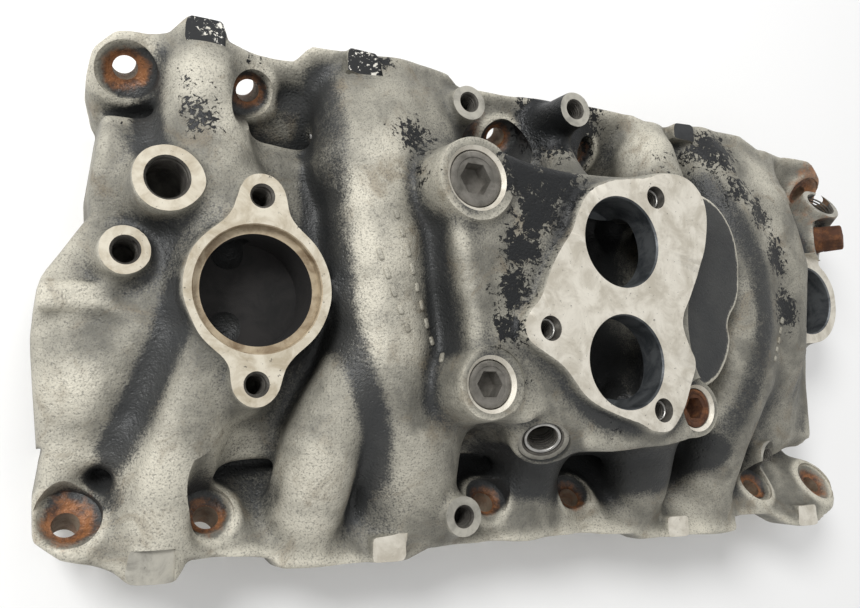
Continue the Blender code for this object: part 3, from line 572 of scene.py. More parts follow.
def carve_hollows():
    """Pockets on top, the valley underneath, and the passages inside."""
    for points, radii, fillet in POCKETS:
        carve(limb(points, radii), fillet)
    carve(cuboid((-203, -57, -20), (185, 57, 27), 5.0), 3.0)
    carve(cuboid((-30, -45, 50), (62, 45, 80), 6.0), 2.0)
    carve(cuboid((54, -12, 50), (94, 50, 71), 6.0), 2.0)
    for bank in (-1, 1):
        for reach in (-OUTER_PORT, -INNER_PORT, INNER_PORT, OUTER_PORT):
            port = port_point(bank, reach)
            toward = -math.copysign(1.0, reach)
            inward = port - bolt_axis(bank) * 12.0 + Vector((toward, 0, 0))
            carve(limb([port, inward, inward + Vector((toward, -bank * 10.0, 6.0))], [12, 10.5, 8]), 1.0)
            mouth_x = THROTTLE[0] + math.copysign(38.0, reach) * (0.75 if abs(reach) == OUTER_PORT else 0.35)
            carve(limb([(mouth_x, bank * 38.0, 60), (mouth_x, bank * 44.0, 56)], 11), 1.0)
        water = port_point(bank, WATER_PORT)
        carve(limb([water, water - bolt_axis(bank) * 3.0], 9.0), 1.0)
        front = port_point(bank, -WATER_PORT)
        inner = Vector((THERMOSTAT[0] - 8.0, bank * 16.0, 43.0))
        carve(limb([front, front - bolt_axis(bank) * 20.0, inner], [9, 9, 9]), 1.0)
        across = port_point(bank, 0.0)
        carve(limb([across, across - bolt_axis(bank) * 14.0, Vector((0, 0, 37))], [9, 9, 8], 0.8), 1.0)
    carve(drum(*THERMOSTAT, 39, 70, THERMOSTAT_BORE - 1.0, 4.0), 1.0)
    for x, y in RIVET_PLACES:
        add(drum(x, y, SHIELD_TOP + FIT_GAP, 34, RIVET_POST, 0.8, 0.03), 3.0)


def smooth_noise(seed, cells):
    """Slow random swelling over the grid, as sand castings have."""
    random = np.random.default_rng(seed)
    size = [max(2, int(len(line) / cells) + 2) for line in LINES]
    coarse = random.standard_normal(size).astype(np.float32)
    for axis, line in enumerate(LINES):
        place = np.arange(len(line)) / cells
        first = np.minimum(place.astype(int), coarse.shape[axis] - 2)
        share = place - first
        share = share * share * (3 - 2 * share)
        shape = [1, 1, 1]
        shape[axis] = -1
        share = share.reshape(shape).astype(np.float32)
        coarse = np.take(coarse, first, axis) * (1 - share) + np.take(coarse, first + 1, axis) * share
    return coarse


def blurred(values, reach):
    """Two box averages along each axis, for a soft blur."""
    steps = max(1, int(reach / GRID_PITCH))
    for axis in range(3):
        for _ in range(2):
            padded = np.concatenate([np.repeat(np.take(values, [0], axis), steps + 1, axis), values,
                                     np.repeat(np.take(values, [-1], axis), steps, axis)], axis)
            total = np.cumsum(padded, axis, dtype=np.float64)
            length = values.shape[axis]
            upper = np.take(total, range(2 * steps + 1, 2 * steps + 1 + length), axis)
            lower = np.take(total, range(length), axis)
            values = ((upper - lower) / (2 * steps + 1)).astype(np.float32)
    return values


def settle_corners():
    """Fill the rare grid squares whose signs cross over, so the skin stays a clean surface."""
    for _ in range(12):
        changed = 0
        for axis in range(3):
            u, v = [other for other in range(3) if other != axis]

            def corner(du, dv):
                where = [slice(None)] * 3
                where[u] = slice(du, FIELD.shape[u] - 1 + du)
                where[v] = slice(dv, FIELD.shape[v] - 1 + dv)
                return tuple(where)

            inside = FIELD < 0
            a, b, c, d = (inside[corner(i, j)] for i, j in ((0, 0), (1, 0), (0, 1), (1, 1)))
            crossed = (a == d) & (b == c) & (a != b)
            if crossed.any():
                changed += int(crossed.sum())
                for i, j in ((0, 0), (1, 0), (0, 1), (1, 1)):
                    part = FIELD[corner(i, j)]
                    part[crossed & (part >= 0)] = -0.02
        if not changed:
            return


def skin():
    """Surface through the field's zero level: one point for each crossed cell."""
    shape = np.array(FIELD.shape) - 1
    count = np.zeros(int(shape.prod()), np.float32)
    sums = [np.zeros(int(shape.prod()), np.float32) for _ in range(3)]
    edges = []
    for axis in range(3):
        first = [slice(None)] * 3
        last = [slice(None)] * 3
        first[axis] = slice(0, -1)
        last[axis] = slice(1, None)
        a, b = FIELD[tuple(first)], FIELD[tuple(last)]
        crossed = np.argwhere((a < 0) != (b < 0))
        start, stop = a[tuple(crossed.T)], b[tuple(crossed.T)]
        share = start / (start - stop)
        u, v = (axis + 1) % 3, (axis + 2) % 3
        beside = crossed[:, (u, v)]
        inner = ((beside > 0) & (beside < shape[[u, v]])).all(1)
        crossed, share, start = crossed[inner], share[inner], start[inner]
        place = crossed.astype(np.float32)
        place[:, axis] += share
        cells = []
        for du, dv in ((0, 0), (1, 0), (1, 1), (0, 1)):
            cell = crossed.copy()
            cell[:, u] -= du
            cell[:, v] -= dv
            flat = np.ravel_multi_index(cell.T, shape)
            cells.append(flat)
            count += np.bincount(flat, minlength=len(count))
            for k in range(3):
                sums[k] += np.bincount(flat, place[:, k], len(count))
        quads = np.stack(cells, 1)
        edges.append(np.where((start < 0)[:, None], quads, quads[:, ::-1]))
    used = np.flatnonzero(count)
    index = np.zeros(len(count), np.int64)
    index[used] = np.arange(len(used))
    origin = np.array([line[0] for line in LINES], np.float32)
    points = np.stack([sums[k][used] / count[used] for k in range(3)], 1) * GRID_PITCH + origin
    return points, index[np.concatenate(edges)]


def mould_outline():
    """Edge of the whole casting in plan, which crops the humps flush with the flanges."""
    left = [(float(x), -float(w)) for x, w in LEFT_EDGE[1:-3]]
    right = [(float(x), float(w)) for x, w in RIGHT_EDGE[1:-3]]
    front = [(float(x), float(y)) for x, y in SKIRT[:8]]
    return left + [(235.0, -80.0), (235.0, 92.0)] + right[::-1] + front


def build_blank():
    build_flanges()
    build_frame()
    build_front()
    build_runners()
    build_pedestal()
    build_bosses()
    carve_hollows()
    x, y = LINES[0].reshape(-1, 1, 1), LINES[1].reshape(1, -1, 1)
    edge = outline_distance(mould_outline(), x, y)
    top = LINES[2].reshape(1, 1, -1) - (PAD_TOP + STOCK)
    FIELD[...] += 0.3 * smooth_noise(5, 16) + 0.14 * smooth_noise(8, 6)
    outside = np.maximum(edge + 0.3, top)
    blend = np.clip(0.5 + 0.5 * (FIELD - outside) / 4.0, 0.0, 1.0)
    FIELD[...] = FIELD * blend + outside * (1 - blend) + 4.0 * blend * (1 - blend)
    settle_corners()
    return skin()


# Machining: crisp cutters, each with the finish that it leaves


FINISHES = ("cast_skin", "machined_face", "ivory_face", "worn_face", "flecked_face", "painted_face",
            "stained_face", "rusty_seat", "bored_wall", "dark_bore", "threaded_wall")


UP = (0, 0, 1)


def skinned(rings, ends=True):
    """A closed mesh over rings of points: a solid with two ends, or else a tube."""
    mesh = bmesh.new()
    loops = [[mesh.verts.new(point) for point in ring] for ring in rings]
    for lower, upper in zip(loops, loops[1:] if ends else loops[1:] + loops[:1]):
        for index in range(len(lower)):
            after = (index + 1) % len(lower)
            mesh.faces.new((lower[index], lower[after], upper[after], upper[index]))
    if ends:
        mesh.faces.new(loops[0][::-1])
        mesh.faces.new(loops[-1])
    bmesh.ops.recalc_face_normals(mesh, faces=mesh.faces)
    return mesh


def cutter(rings, finish):
    """A cutter and the finish that it leaves."""
    mesh = skinned(rings)
    for face in mesh.faces:
        face.material_index = FINISHES.index(finish)
    return mesh


def axis_frame(axis):
    axis = Vector(axis).normalized()
    side = axis.cross(Vector((0, 1, 0)))
    if side.length < 0.1:
        side = axis.cross(Vector((1, 0, 0)))
    side.normalize()
    return axis, side, axis.cross(side)


def turned_rings(start, axis, profile, segments):
    axis, side, other = axis_frame(axis)
    rings = []
    for along, radius in profile:
        centre = Vector(start) + axis * along
        ring = []
        for index in range(segments):
            angle = 2 * math.pi * index / segments
            ring.append(centre + radius * (side * math.cos(angle) + other * math.sin(angle)))
        rings.append(ring)
    return rings


def turned_cutter(start, axis, profile, finish, segments=40, wall=None):
    """A turned cutter; its side walls may leave a finish of their own."""
    mesh = cutter(turned_rings(start, axis, profile, segments), finish)
    axis = Vector(axis).normalized()
    for face in mesh.faces:
        if wall and abs(face.normal.dot(axis)) < 0.9:
            face.material_index = FINISHES.index(wall)
    return mesh


def spot_face(start, radius, finish):
    """A flat seat milled into rough metal, whose walls stay rough."""
    profile = ((0.0, radius), (TOOL_ROOM, radius + 1.0))
    return turned_cutter(start, UP, profile, finish, 40, "cast_skin")


def seat_cutter(seat, bank, reach):
    """A dished bolt seat and the room above it for a socket, lower where a boss stands over it."""
    radius = 12.6 if abs(reach) == END_BOLT else 11.0
    height = 30.0
    if bank > 0 and reach > CENTRE_BOLT:
        height = 7.0
    profile = ((-2.2, BOLT_HOLE + 1.4), (-1.2, BOLT_HOLE + 2.6), (0.2, radius - 2.0), (0.8, radius),
               (height, radius + 1.0))
    return turned_cutter(seat, -bolt_axis(bank), profile, "cast_skin", 48)


def drill(x, y, low, high, radius, finish, segments=40):
    return turned_cutter((x, y, low), UP, ((0.0, radius), (high - low, radius)), finish, segments)


def prism_cutter(outline, low, high, finish):
    return cutter([[Vector((x, y, z)) for x, y in outline] for z in (low, high)], finish)


def face_cutter():
    """Everything below the feet and the two sloping head faces."""
    reach = 125.0
    foot = PORT_LINE - face_height(PORT_LINE) / math.tan(FACE_SLOPE)
    section = ((-reach, -30), (reach, -30), (reach, face_height(reach)), (foot, 0), (-foot, 0),
               (-reach, face_height(reach)))
    return cutter([[Vector((x, y, z)) for y, z in section] for x in (-250, 250)], "machined_face")


def port_cutter(bank, reach, width, height, depth):
    """A rounded rectangular port, square to the head face."""
    port = port_point(bank, reach)
    axis = bolt_axis(bank)
    along = Vector((1, 0, 0))
    across = axis.cross(along)
    corner = 6.0
    outline = []
    for quarter, (a, b) in enumerate(((1, 1), (-1, 1), (-1, -1), (1, -1))):
        for step in range(5):
            angle = math.pi / 2 * (quarter + step / 4)
            outline.append((a * (width / 2 - corner) + corner * math.cos(angle),
                            b * (height / 2 - corner) + corner * math.sin(angle)))
    rings = []
    for place in (12.0, -depth):
        rings.append([port + axis * place + along * a + across * b for a, b in outline])
    return cutter(rings, "cast_skin")


def face_cuts():
    """Planes milled across the bosses, the throttle pad and the outlet flange."""
    made = [face_cutter(),
            prism_cutter(rectangle((-50, -66), (76, 68)), PAD_TOP, PAD_TOP + 11.2, "machined_face"),
            prism_cutter(outlet_outline(1.6), THERMOSTAT_TOP, THERMOSTAT_TOP + 12, "ivory_face")]
    for x, y, top, radius, _hole, _depth in (HEATER_BOSS, SENDER_BOSS) + BRACKET_BOSSES:
        finish = "ivory_face" if x < -100 else "worn_face"
        made.append(spot_face((x, y, top), radius + 2.5, finish))
    for node, radius in PLUG_BOSSES:
        x, y, _foot, top, _bore = upright(node)
        made.append(spot_face((x, y, top + PLUG_SETBACK), radius + 1.0, "cast_skin"))
    for mouth, axis, radius, _hole, _depth in (REAR_PORT, SQUARE_PLUG, SIDE_PORT):
        sweep = ((0, radius), (TOOL_ROOM, radius))
        made.append(turned_cutter(mouth, axis, sweep, "worn_face", 48, "cast_skin"))
    x, y, top, rim, _hole = DISTRIBUTOR
    made.append(drill(x, y, top, top + TOOL_ROOM, rim + 3.0, "machined_face"))
    for bank, reach, top, finish in LOCATING_PADS:
        x = bank_x(bank, reach)
        low_y, high_y = sorted((bank * 104.0, bank * 119.0))
        made.append(prism_cutter(rectangle((x - 9, low_y), (x + 9, high_y)), top, top + 8, finish))
    for seat, bank, reach in bolt_seats():
        made.append(seat_cutter(seat, bank, reach))
    return made


def hole_cuts():
    made = []
    for x, y, top, _radius, hole, depth in (HEATER_BOSS, SENDER_BOSS) + BRACKET_BOSSES:
        profile = ((0, hole * 0.3), (3, hole), (depth - 0.9, hole), (depth + 0.6, hole + 1.3))
        made.append(turned_cutter((x, y, top - depth), UP, profile, "threaded_wall"))
    for node, _radius in PLUG_BOSSES:
        x, y, foot, top, radius = upright(node)
        depth = top + PLUG_SETBACK - foot
        radius += FIT_GAP
        profile = ((0, radius), (depth - 1.2, radius), (depth + 0.8, radius + 2.2))
        made.append(turned_cutter((x, y, foot - FIT_GAP), UP, profile, "machined_face", 64))
    for mouth, axis, _radius, hole, depth in (REAR_PORT, SQUARE_PLUG, SIDE_PORT):
        profile = ((-depth, hole), (-0.9, hole), (1.0, hole + 1.8))
        made.append(turned_cutter(mouth, axis, profile, "threaded_wall", 56))
    for node in STUD_INSERTS:
        x, y, foot, _top, radius = upright(node)
        radius += FIT_GAP
        profile = ((0, radius), (PAD_TOP - foot - 0.3, radius), (PAD_TOP - foot + 0.8, radius + 0.8))
        made.append(turned_cutter((x, y, foot - FIT_GAP), UP, profile, "threaded_wall"))
    for side in (-1, 1):
        profile = bore_profile(BORE_RADIUS, 24.0, 1.2) + ((26.0, BORE_RADIUS + 1.2),)
        start = (THROTTLE[0], THROTTLE[1] + side * BORE_SPACING / 2, PAD_TOP - 25.0)
        made.append(turned_cutter(start, UP, profile, "bored_wall", ROUND))
        lobe = (THERMOSTAT[0], THERMOSTAT[1] + side * OUTLET_SPACING / 2, THERMOSTAT_TOP - 21)
        profile = ((0, 1.0), (3, OUTLET_HOLE), (20, OUTLET_HOLE), (22, OUTLET_HOLE + 2.0))
        made.append(turned_cutter(lobe, UP, profile, "threaded_wall"))
    top = THERMOSTAT_TOP
    made.append(drill(*THERMOSTAT, top - 26, top - 3.5, THERMOSTAT_BORE, "dark_bore", ROUND))
    profile = ((0, THERMOSTAT_SEAT - 0.8), (3.4, THERMOSTAT_SEAT - 0.6), (4.6, THERMOSTAT_SEAT + 0.8))
    made.append(turned_cutter((*THERMOSTAT, top - 3.8), UP, profile, "stained_face", ROUND))
    x, y, top, _rim, hole = DISTRIBUTOR
    profile = ((0, hole), (top + 30 - 0.8, hole), (top + 31, hole + 1.8))
    made.append(turned_cutter((x, y, -30), UP, profile, "bored_wall", ROUND))
    profile = ((-20, BOLT_HOLE), (30, BOLT_HOLE))
    for seat, bank, _reach in bolt_seats():
        made.append(turned_cutter(seat, bolt_axis(bank), profile, "rusty_seat", 32))
    for bank in (-1, 1):
        for reach in (-OUTER_PORT, -INNER_PORT, INNER_PORT, OUTER_PORT):
            made.append(port_cutter(bank, reach, PORT_WIDTH, PORT_HEIGHT, 10.0))
        for reach, width, height, depth in ((0.0, 32.0, 18.0, 16.0), (-WATER_PORT, 26.0, 20.0, 14.0),
                                            (WATER_PORT, 26.0, 26.0, 9.0)):
            made.append(port_cutter(bank, reach, width, height, depth))
    for x, y in RIVET_PLACES:
        top = SHIELD_LOW + RIVET_LENGTH + FIT_GAP
        made.append(drill(x, y, SHIELD_LOW, top, RIVET_SHANK + FIT_GAP, "bored_wall", 20))
    return made


def bore_profile(radius, depth, pitch):
    """Fine grooves that a boring bar leaves, one above the other."""
    steps = range(int(2 * depth / pitch) + 1)
    return tuple((step * pitch / 2, radius + GROOVE_DEPTH * (step % 2)) for step in steps)


def batches(meshes):
    """Gather cutters that keep clear of each other, so that each batch is one clean cut."""
    groups = []
    for mesh in meshes:
        points = np.array([vert.co for vert in mesh.verts])
        low, high = points.min(0), points.max(0)
        for group in groups:
            if all((low > top).any() or (high < bottom).any() for _mesh, bottom, top in group):
                group.append((mesh, low, high))
                break
        else:
            groups.append([(mesh, low, high)])
    return [[mesh for mesh, _low, _high in group] for group in groups]


def linked(name, data):
    """A new object in the scene."""
    made = bpy.data.objects.new(name, data)
    bpy.context.scene.collection.objects.link(made)
    return made


def joined(name, meshes):
    """One object in metres from several meshes in millimetres."""
    data = bpy.data.meshes.new(name)
    whole = bmesh.new()
    for mesh in meshes:
        mesh.to_mesh(data)
        mesh.free()
        whole.from_mesh(data)
    bmesh.ops.scale(whole, vec=(MM, MM, MM), verts=whole.verts)
    whole.to_mesh(data)
    whole.free()
    return linked(name, data)


def baked(piece):
    """Keep what the modifiers make as the piece's own mesh."""
    graph = bpy.context.evaluated_depsgraph_get()
    made = bpy.data.meshes.new_from_object(piece.evaluated_get(graph))
    old = piece.data
    piece.modifiers.clear()
    piece.data = made
    bpy.data.meshes.remove(old)
    return piece


def machine(casting, meshes):
    for batch in batches(meshes):
        tool = joined("cutter", batch)
        for material in casting.data.materials:
            tool.data.materials.append(material)
        modifier = casting.modifiers.new("cut", "BOOLEAN")
        modifier.operation = "DIFFERENCE"
        modifier.solver = "MANIFOLD"
        modifier.object = tool
        baked(casting)
        bpy.data.objects.remove(tool)


def thinned(piece, most):
    """Thin a dense mesh where it is flat."""
    count = sum(len(face.vertices) - 2 for face in piece.data.polygons)
    modifier = piece.modifiers.new("thin", "DECIMATE")
    modifier.ratio = min(1.0, most / count)
    return baked(piece)


def triangulated(piece):
    """Cut the many-sided faces that the machining leaves into triangles."""
    mesh = bmesh.new()
    mesh.from_mesh(piece.data)
    bmesh.ops.triangulate(mesh, faces=mesh.faces, quad_method="BEAUTY", ngon_method="BEAUTY")
    mesh.to_mesh(piece.data)
    mesh.free()
    return piece


# Weathering and painted shade: soft masks kept on the casting's points


# Where dark oily grime gathered, with painted shade inside the plenum and the thermostat bore, down the
# valleys and around the low lobe: x, y, z, reach, strength
SOOT_AND_SHADE = (
    (-100, -42, 40, 14, 1.0), (-94, -62, 38, 14, 1.2), (-90, -84, 36, 13, 1.1), (-74, -44, 46, 14, 0.9),
    (-152, -2, 38, 24, 2.4), (12, -29, 58, 30, 2.4), (12, 28, 58, 30, 2.4), (-185, 18, 44, 12, 0.4),
    (-205, 84, 34, 11, 0.8), (-207, 62, 36, 9, 0.7), (85, 20, 79, 30, 1.0), (92, 50, 76, 22, 0.8),
    (140, -84, 42, 16, 0.6), (-16, 92, 46, 18, 0.9), (-40, 92, 44, 16, 0.8), (30, 92, 48, 16, 0.7),
    (-50, 74, 56, 14, 0.7), (-132, 92, 40, 12, 0.8), (-136, 74, 42, 11, 0.5), (-146, -80, 38, 10, 0.9),
    (186, 50, 44, 14, 0.8), (176, -36, 42, 14, 0.6), (196, -60, 38, 14, 0.6), (-30, -58, 74, 12, 0.5),
    (40, -62, 78, 14, 0.7), (-122, 106, 40, 10, 0.9), (176, 86, 50, 13, 0.8), (-206, -86, 33, 8, 0.9),
    (150, -40, 46, 16, 0.5),
)
# Darker sooty streaks and painted shade along valleys, the widest one a painted shadow along the driver side
# below the pedestal: points in plan, half width, strength
SOOT_AND_SHADE_STREAKS = (
    (((-180, -4), (-185, -24), (-192, -44), (-199, -64), (-204, -84)), 8.0, 1.0),
    (((-196, 98), (-197, 80), (-196, 58)), 7.5, 0.9),
    (((-121, 98), (-120, 69), (-120, 36), (-118, 8), (-114, -16), (-104, -47), (-98, -64), (-96, -80)),
     7.5, 0.9),
    (((-74, 46), (-68, -2), (-60, -42)), 8.0, 0.6),
    (((106, 78), (118, 55), (128, 30), (131, -4), (119, -40), (106, -66)), 9.0, 0.95),
    (((-30, -80), (0, -82), (34, -83), (66, -81), (100, -72)), 14.0, 1.35),
)
# Where black paint still clings in flakes
PAINT = (
    (-204, 78, 42, 10, 1.0), (-184, 84, 54, 9, 0.65), (-178, 70, 56, 12, 0.85), (-84, 72, 66, 13, 0.9),
    (-80, 50, 70, 11, 0.7), (-42, 56, 88, 15, 1.35), (-20, 54, 88, 15, 1.35), (-32, 38, 88, 15, 1.2),
    (-42, 20, 88, 13, 1.15), (-47, 2, 87, 12, 1.1), (-50, -16, 87, 11, 1.0), (-40, -40, 88, 10, 0.5),
    (4, 100, 58, 19, 1.9), (0, 100, 72, 6, 0.2), (30, 98, 54, 22, 1.2), (116, 99, 50, 18, 1.2),
    (137, 63, 62, 15, 1.05), (146, 37, 62, 15, 1.1), (154, 8, 62, 15, 1.1), (124, 76, 60, 15, 1.0),
    (-96, 114, 50, 12, 0.8), (-168, 113, 50, 10, 0.7), (8, -60, 88, 12, 0.4), (-14, 76, 70, 16, 0.9),
    (70, 86, 60, 18, 0.5), (100, 66, 70, 16, 0.7), (-150, 104, 46, 14, 0.5),
)
# Pale, rubbed metal, and a painted highlight along the left flank and the top of the front ridge
PALE_RUBS_AND_HIGHLIGHTS = (
    (-112, 44, 62, 11, 0.9), (-110, 20, 62, 11, 1.0), (-108, -4, 62, 11, 1.0), (-102, -22, 62, 11, 0.9),
    (-98, 60, 70, 16, 0.6), (-94, 20, 72, 16, 0.5), (-90, -20, 70, 16, 0.5), (-84, -76, 54, 16, 0.6),
    (-178, 88, 50, 14, 0.6), (-164, 70, 54, 12, 0.6), (-184, -74, 50, 14, 0.8),
    (-184, -96, 46, 13, 0.8), (-122, -80, 50, 14, 0.9), (-124, -98, 44, 12, 0.8),
    (-218, -44, 34, 13, 0.8), (-216, -70, 34, 13, 0.7), (-154, -62, 46, 11, 1.0),
    (150, 88, 54, 16, 0.7), (148, 50, 62, 14, 0.6), (66, 96, 56, 16, 0.7), (-222, -8, 40, 14, 0.9),
    (24, -104, 40, 16, 0.7), (90, -104, 40, 18, 0.7), (-60, 30, 86, 14, 0.4),
)
# Rust that ran from bolts and plugs
RUST = (
    (214, 82, 52, 22, 0.7), (209, 58, 50, 16, 0.9), (208, -93, 34, 16, 0.6), (226, 98, 42, 20, 1.2),
    (64.5, -49.5, 83, 13, 0.8), (-36, 97, 36, 14, 0.6), (155, -93, 34, 14, 0.4), (219, 93, 34, 18, 1.0),
    (200, -108, 36, 12, 0.4), (-216, -93, 34, 17, 0.7), (-160, -97, 34, 12, 0.5),
)


def spotted(points, spots):
    """Soft round patches, strongest at their middles."""
    found = np.zeros(len(points), np.float32)
    for x, y, z, reach, strength in spots:
        off = (points[:, 0] - x) ** 2 + (points[:, 1] - y) ** 2 + ((points[:, 2] - z) * 0.7) ** 2
        found = np.maximum(found, strength * np.exp(-off / (reach * reach) * 0.9))
    return found


def streaked(points, streaks):
    """Soft bands that follow paths in plan."""
    found = np.zeros(len(points), np.float32)
    for path, reach, strength in streaks:
        for (ax, ay), (bx, by) in zip(path, path[1:]):
            run_x, run_y = bx - ax, by - ay
            share = ((points[:, 0] - ax) * run_x + (points[:, 1] - ay) * run_y) / (run_x ** 2 + run_y ** 2)
            share = np.clip(share, 0.0, 1.0)
            off = (points[:, 0] - ax - share * run_x) ** 2 + (points[:, 1] - ay - share * run_y) ** 2
            found = np.maximum(found, strength * np.exp(-((off / (reach * reach)) ** 1.5)))
    return found


def seat_masks(points):
    """Rust around each bolt hole, and the pale rim of each seat."""
    rust = np.zeros(len(points), np.float32)
    pale = np.zeros(len(points), np.float32)
    for seat, bank, reach in bolt_seats():
        axis = np.array(bolt_axis(bank))
        off = points - np.array(seat, np.float32)
        along = off @ axis
        out = np.sqrt(np.maximum((off ** 2).sum(1) - along ** 2, 0.0))
        near = np.exp(-(along / 7.0) ** 2)
        grow = 1.2 if abs(reach) == END_BOLT else 1.0
        rust = np.maximum(rust, near * 1.1 * np.clip(1.5 - out / (8.0 * grow), 0.0, 1.0))
        pale = np.maximum(pale, near * 0.9 * np.exp(-((out - 11.5 * grow) / 2.5) ** 2))
    return rust, pale


def lobe_mask(points):
    """The top of the low lobe, sooty and darkened with painted shade, with a pale line along its edge."""
    outline = softened([(float(x), float(y)) for x, y in LOBE], 2)
    edge = outline_distance(outline, points[:, 0], points[:, 1])
    level = np.abs(points[:, 2] - LOBE_TOP) < 3.0
    darkening = np.where(level, np.clip((-edge - 1.2) / 1.5, 0.0, 1.0), 0.0)
    rim = np.where(level, np.exp(-((edge + 0.6) / 1.2) ** 2), 0.0)
    return darkening, rim


def sampled(values, points):
    """Read a grid at points, smoothly between its places."""
    places = [(points[:, k] - LINES[k][0]) / GRID_PITCH for k in range(3)]
    first = [np.clip(place.astype(int), 0, len(LINES[k]) - 2) for k, place in enumerate(places)]
    share = [np.clip(place - base, 0, 1) for place, base in zip(places, first)]
    found = np.zeros(len(points), np.float32)
    for i in (0, 1):
        for j in (0, 1):
            for k in (0, 1):
                weight = abs(1 - i - share[0]) * abs(1 - j - share[1]) * abs(1 - k - share[2])
                found += weight * values[first[0] + i, first[1] + j, first[2] + k]
    return found


def keep_mask(mesh, name, values):
    layer = mesh.attributes.new(name, "FLOAT", "POINT")
    layer.data.foreach_set("value", np.ascontiguousarray(values, np.float32))


def weather_and_shade(casting):
    mesh = casting.data
    points = np.empty(len(mesh.vertices) * 3, np.float32)
    mesh.vertices.foreach_get("co", points)
    points = points.reshape(-1, 3) / MM
    # How enclosed each point is, from the blurred solid: the casting's material darkens enclosed places with
    # it as painted shade
    solid = np.clip(0.5 - FIELD / GRID_PITCH, 0.0, 1.0)
    close = blurred(solid, 4.5)
    wide = blurred(blurred(solid, 9.0), 9.0)
    keep_mask(mesh, "close_hollow", (sampled(close, points) - 0.5) * 2)
    keep_mask(mesh, "wide_hollow", (sampled(wide, points) - 0.5) * 2)
    seat_rust, seat_pale = seat_masks(points)
    lobe_soot_and_shade, lobe_rim = lobe_mask(points)
    # Sooty grime and painted shade in one mask, which darkens the casting in its passages, valleys and on
    # the low lobe
    darkening = np.maximum(spotted(points, SOOT_AND_SHADE), streaked(points, SOOT_AND_SHADE_STREAKS))
    keep_mask(mesh, "darkening", np.maximum(darkening, 1.5 * lobe_soot_and_shade) * (1.0 - 0.7 * lobe_rim) - 0.8 * seat_pale)
    keep_mask(mesh, "paint", spotted(points, PAINT))
    keep_mask(mesh, "pale", np.maximum(spotted(points, PALE_RUBS_AND_HIGHLIGHTS), np.maximum(seat_pale, 0.8 * lobe_rim)))
    keep_mask(mesh, "rust", np.maximum(spotted(points, RUST), seat_rust))


# Shader groups shared by the materials


def put(tree, kind, inputs=None, **settings):
    """Add a shader node, with its settings and what feeds it."""
    made = tree.nodes.new(kind)
    for name, value in settings.items():
        setattr(made, name, value)
    for name, value in (inputs or {}).items():
        if isinstance(value, bpy.types.NodeSocket):
            tree.links.new(value, made.inputs[name])
        else:
            made.inputs[name].default_value = value
    return made


def math_node(tree, operation, first, second):
    return put(tree, "ShaderNodeMath", {0: first, 1: second}, operation=operation).outputs[0]


def scaled(tree, value, factor):
    return math_node(tree, "MULTIPLY", value, factor)


def summed(tree, first, *terms):
    """A value plus others, each with its own weight."""
    for value, weight in terms:
        first = math_node(tree, "ADD", first, scaled(tree, value, weight))
    return first


def ramp(tree, value, low, high):
    """Zero below low, one above high, smooth between."""
    made = put(tree, "ShaderNodeMapRange", {0: value, 1: low, 2: high}, interpolation_type="SMOOTHSTEP")
    return made.outputs[0]


def mixed(tree, share, first, second, blend="MIX"):
    made = put(tree, "ShaderNodeMix", data_type="RGBA", blend_type=blend)
    for place, value in ((0, share), (6, first), (7, second)):
        if isinstance(value, bpy.types.NodeSocket):
            tree.links.new(value, made.inputs[place])
        else:
            made.inputs[place].default_value = value if place == 0 else (*value, 1.0)
    return made.outputs[2]


def noise(tree, where, scale, detail=4.0, rough=0.55, distortion=0.0):
    return put(tree, "ShaderNodeTexNoise", {
        "Vector": where, "Scale": scale, "Detail": detail, "Roughness": rough,
        "Distortion": distortion}).outputs[0]


PLACE = ("Place", "NodeSocketVector", None)


def socketed(tree, inputs):
    """Give a node group its named inputs."""
    for label, kind, value in inputs:
        socket = tree.interface.new_socket(label, in_out="INPUT", socket_type=kind)
        if value is not None:
            socket.default_value = value


def ends(tree):
    return tree, tree.nodes.new("NodeGroupInput").outputs, tree.nodes.new("NodeGroupOutput").inputs


def group(name, inputs, outputs):
    """A shader group with named sockets, and its two ends."""
    tree = bpy.data.node_groups.new(name, "ShaderNodeTree")
    socketed(tree, inputs)
    for label in outputs:
        kind = "NodeSocketColor" if label == "Color" else "NodeSocketFloat"
        tree.interface.new_socket(label, in_out="OUTPUT", socket_type=kind)
    return ends(tree)


def use(tree, made, inputs):
    placed = put(tree, "ShaderNodeGroup", node_tree=made)
    for name, value in inputs.items():
        if isinstance(value, bpy.types.NodeSocket):
            tree.links.new(value, placed.inputs[name])
        else:
            placed.inputs[name].default_value = value
    return placed.outputs


def casting_grain():
    """Sand grain, pits and slow mottling of a cast skin."""
    tree, given, out = group("casting_grain", (PLACE, ("Grain per metre", "NodeSocketFloat", 900.0)),
                             ("Height", "Mottle", "Speckle", "Grit"))
    place, grain = given["Place"], given["Grain per metre"]
    fine = noise(tree, place, grain, 3.0, 0.6)
    coarse = noise(tree, place, scaled(tree, grain, 0.28), 4.0, 0.6)
    pits = put(tree, "ShaderNodeTexVoronoi", {"Vector": place, "Scale": scaled(tree, grain, 0.4)})
    pitted = ramp(tree, pits.outputs["Distance"], 0.05, 0.3)
    height = summed(tree, scaled(tree, fine, 0.5), (coarse, 0.7), (pitted, 0.25))
    tree.links.new(height, out["Height"])
    tree.links.new(noise(tree, place, 38.0, 5.0, 0.62, 0.4), out["Mottle"])
    tree.links.new(noise(tree, place, 260.0, 6.0, 0.78), out["Speckle"])
    tree.links.new(noise(tree, place, 1300.0, 2.0, 0.6), out["Grit"])
    return tree


def flaked_coat():
    """Where a coat still clings: a soft mask broken up into crisp flakes."""
    tree, given, out = group("flaked_coat", (PLACE, ("Cover", "NodeSocketFloat", 0.0),
                                             ("Flakes per metre", "NodeSocketFloat", 420.0)), ("Mask",))
    broad = noise(tree, given["Place"], scaled(tree, given["Flakes per metre"], 0.3), 3.0, 0.6)
    fine = noise(tree, given["Place"], given["Flakes per metre"], 5.0, 0.68, 0.6)
    level = summed(tree, scaled(tree, broad, 0.4), (fine, 0.8), (given["Cover"], 0.36))
    tree.links.new(ramp(tree, level, 0.845, 0.875), out["Mask"])
    return tree


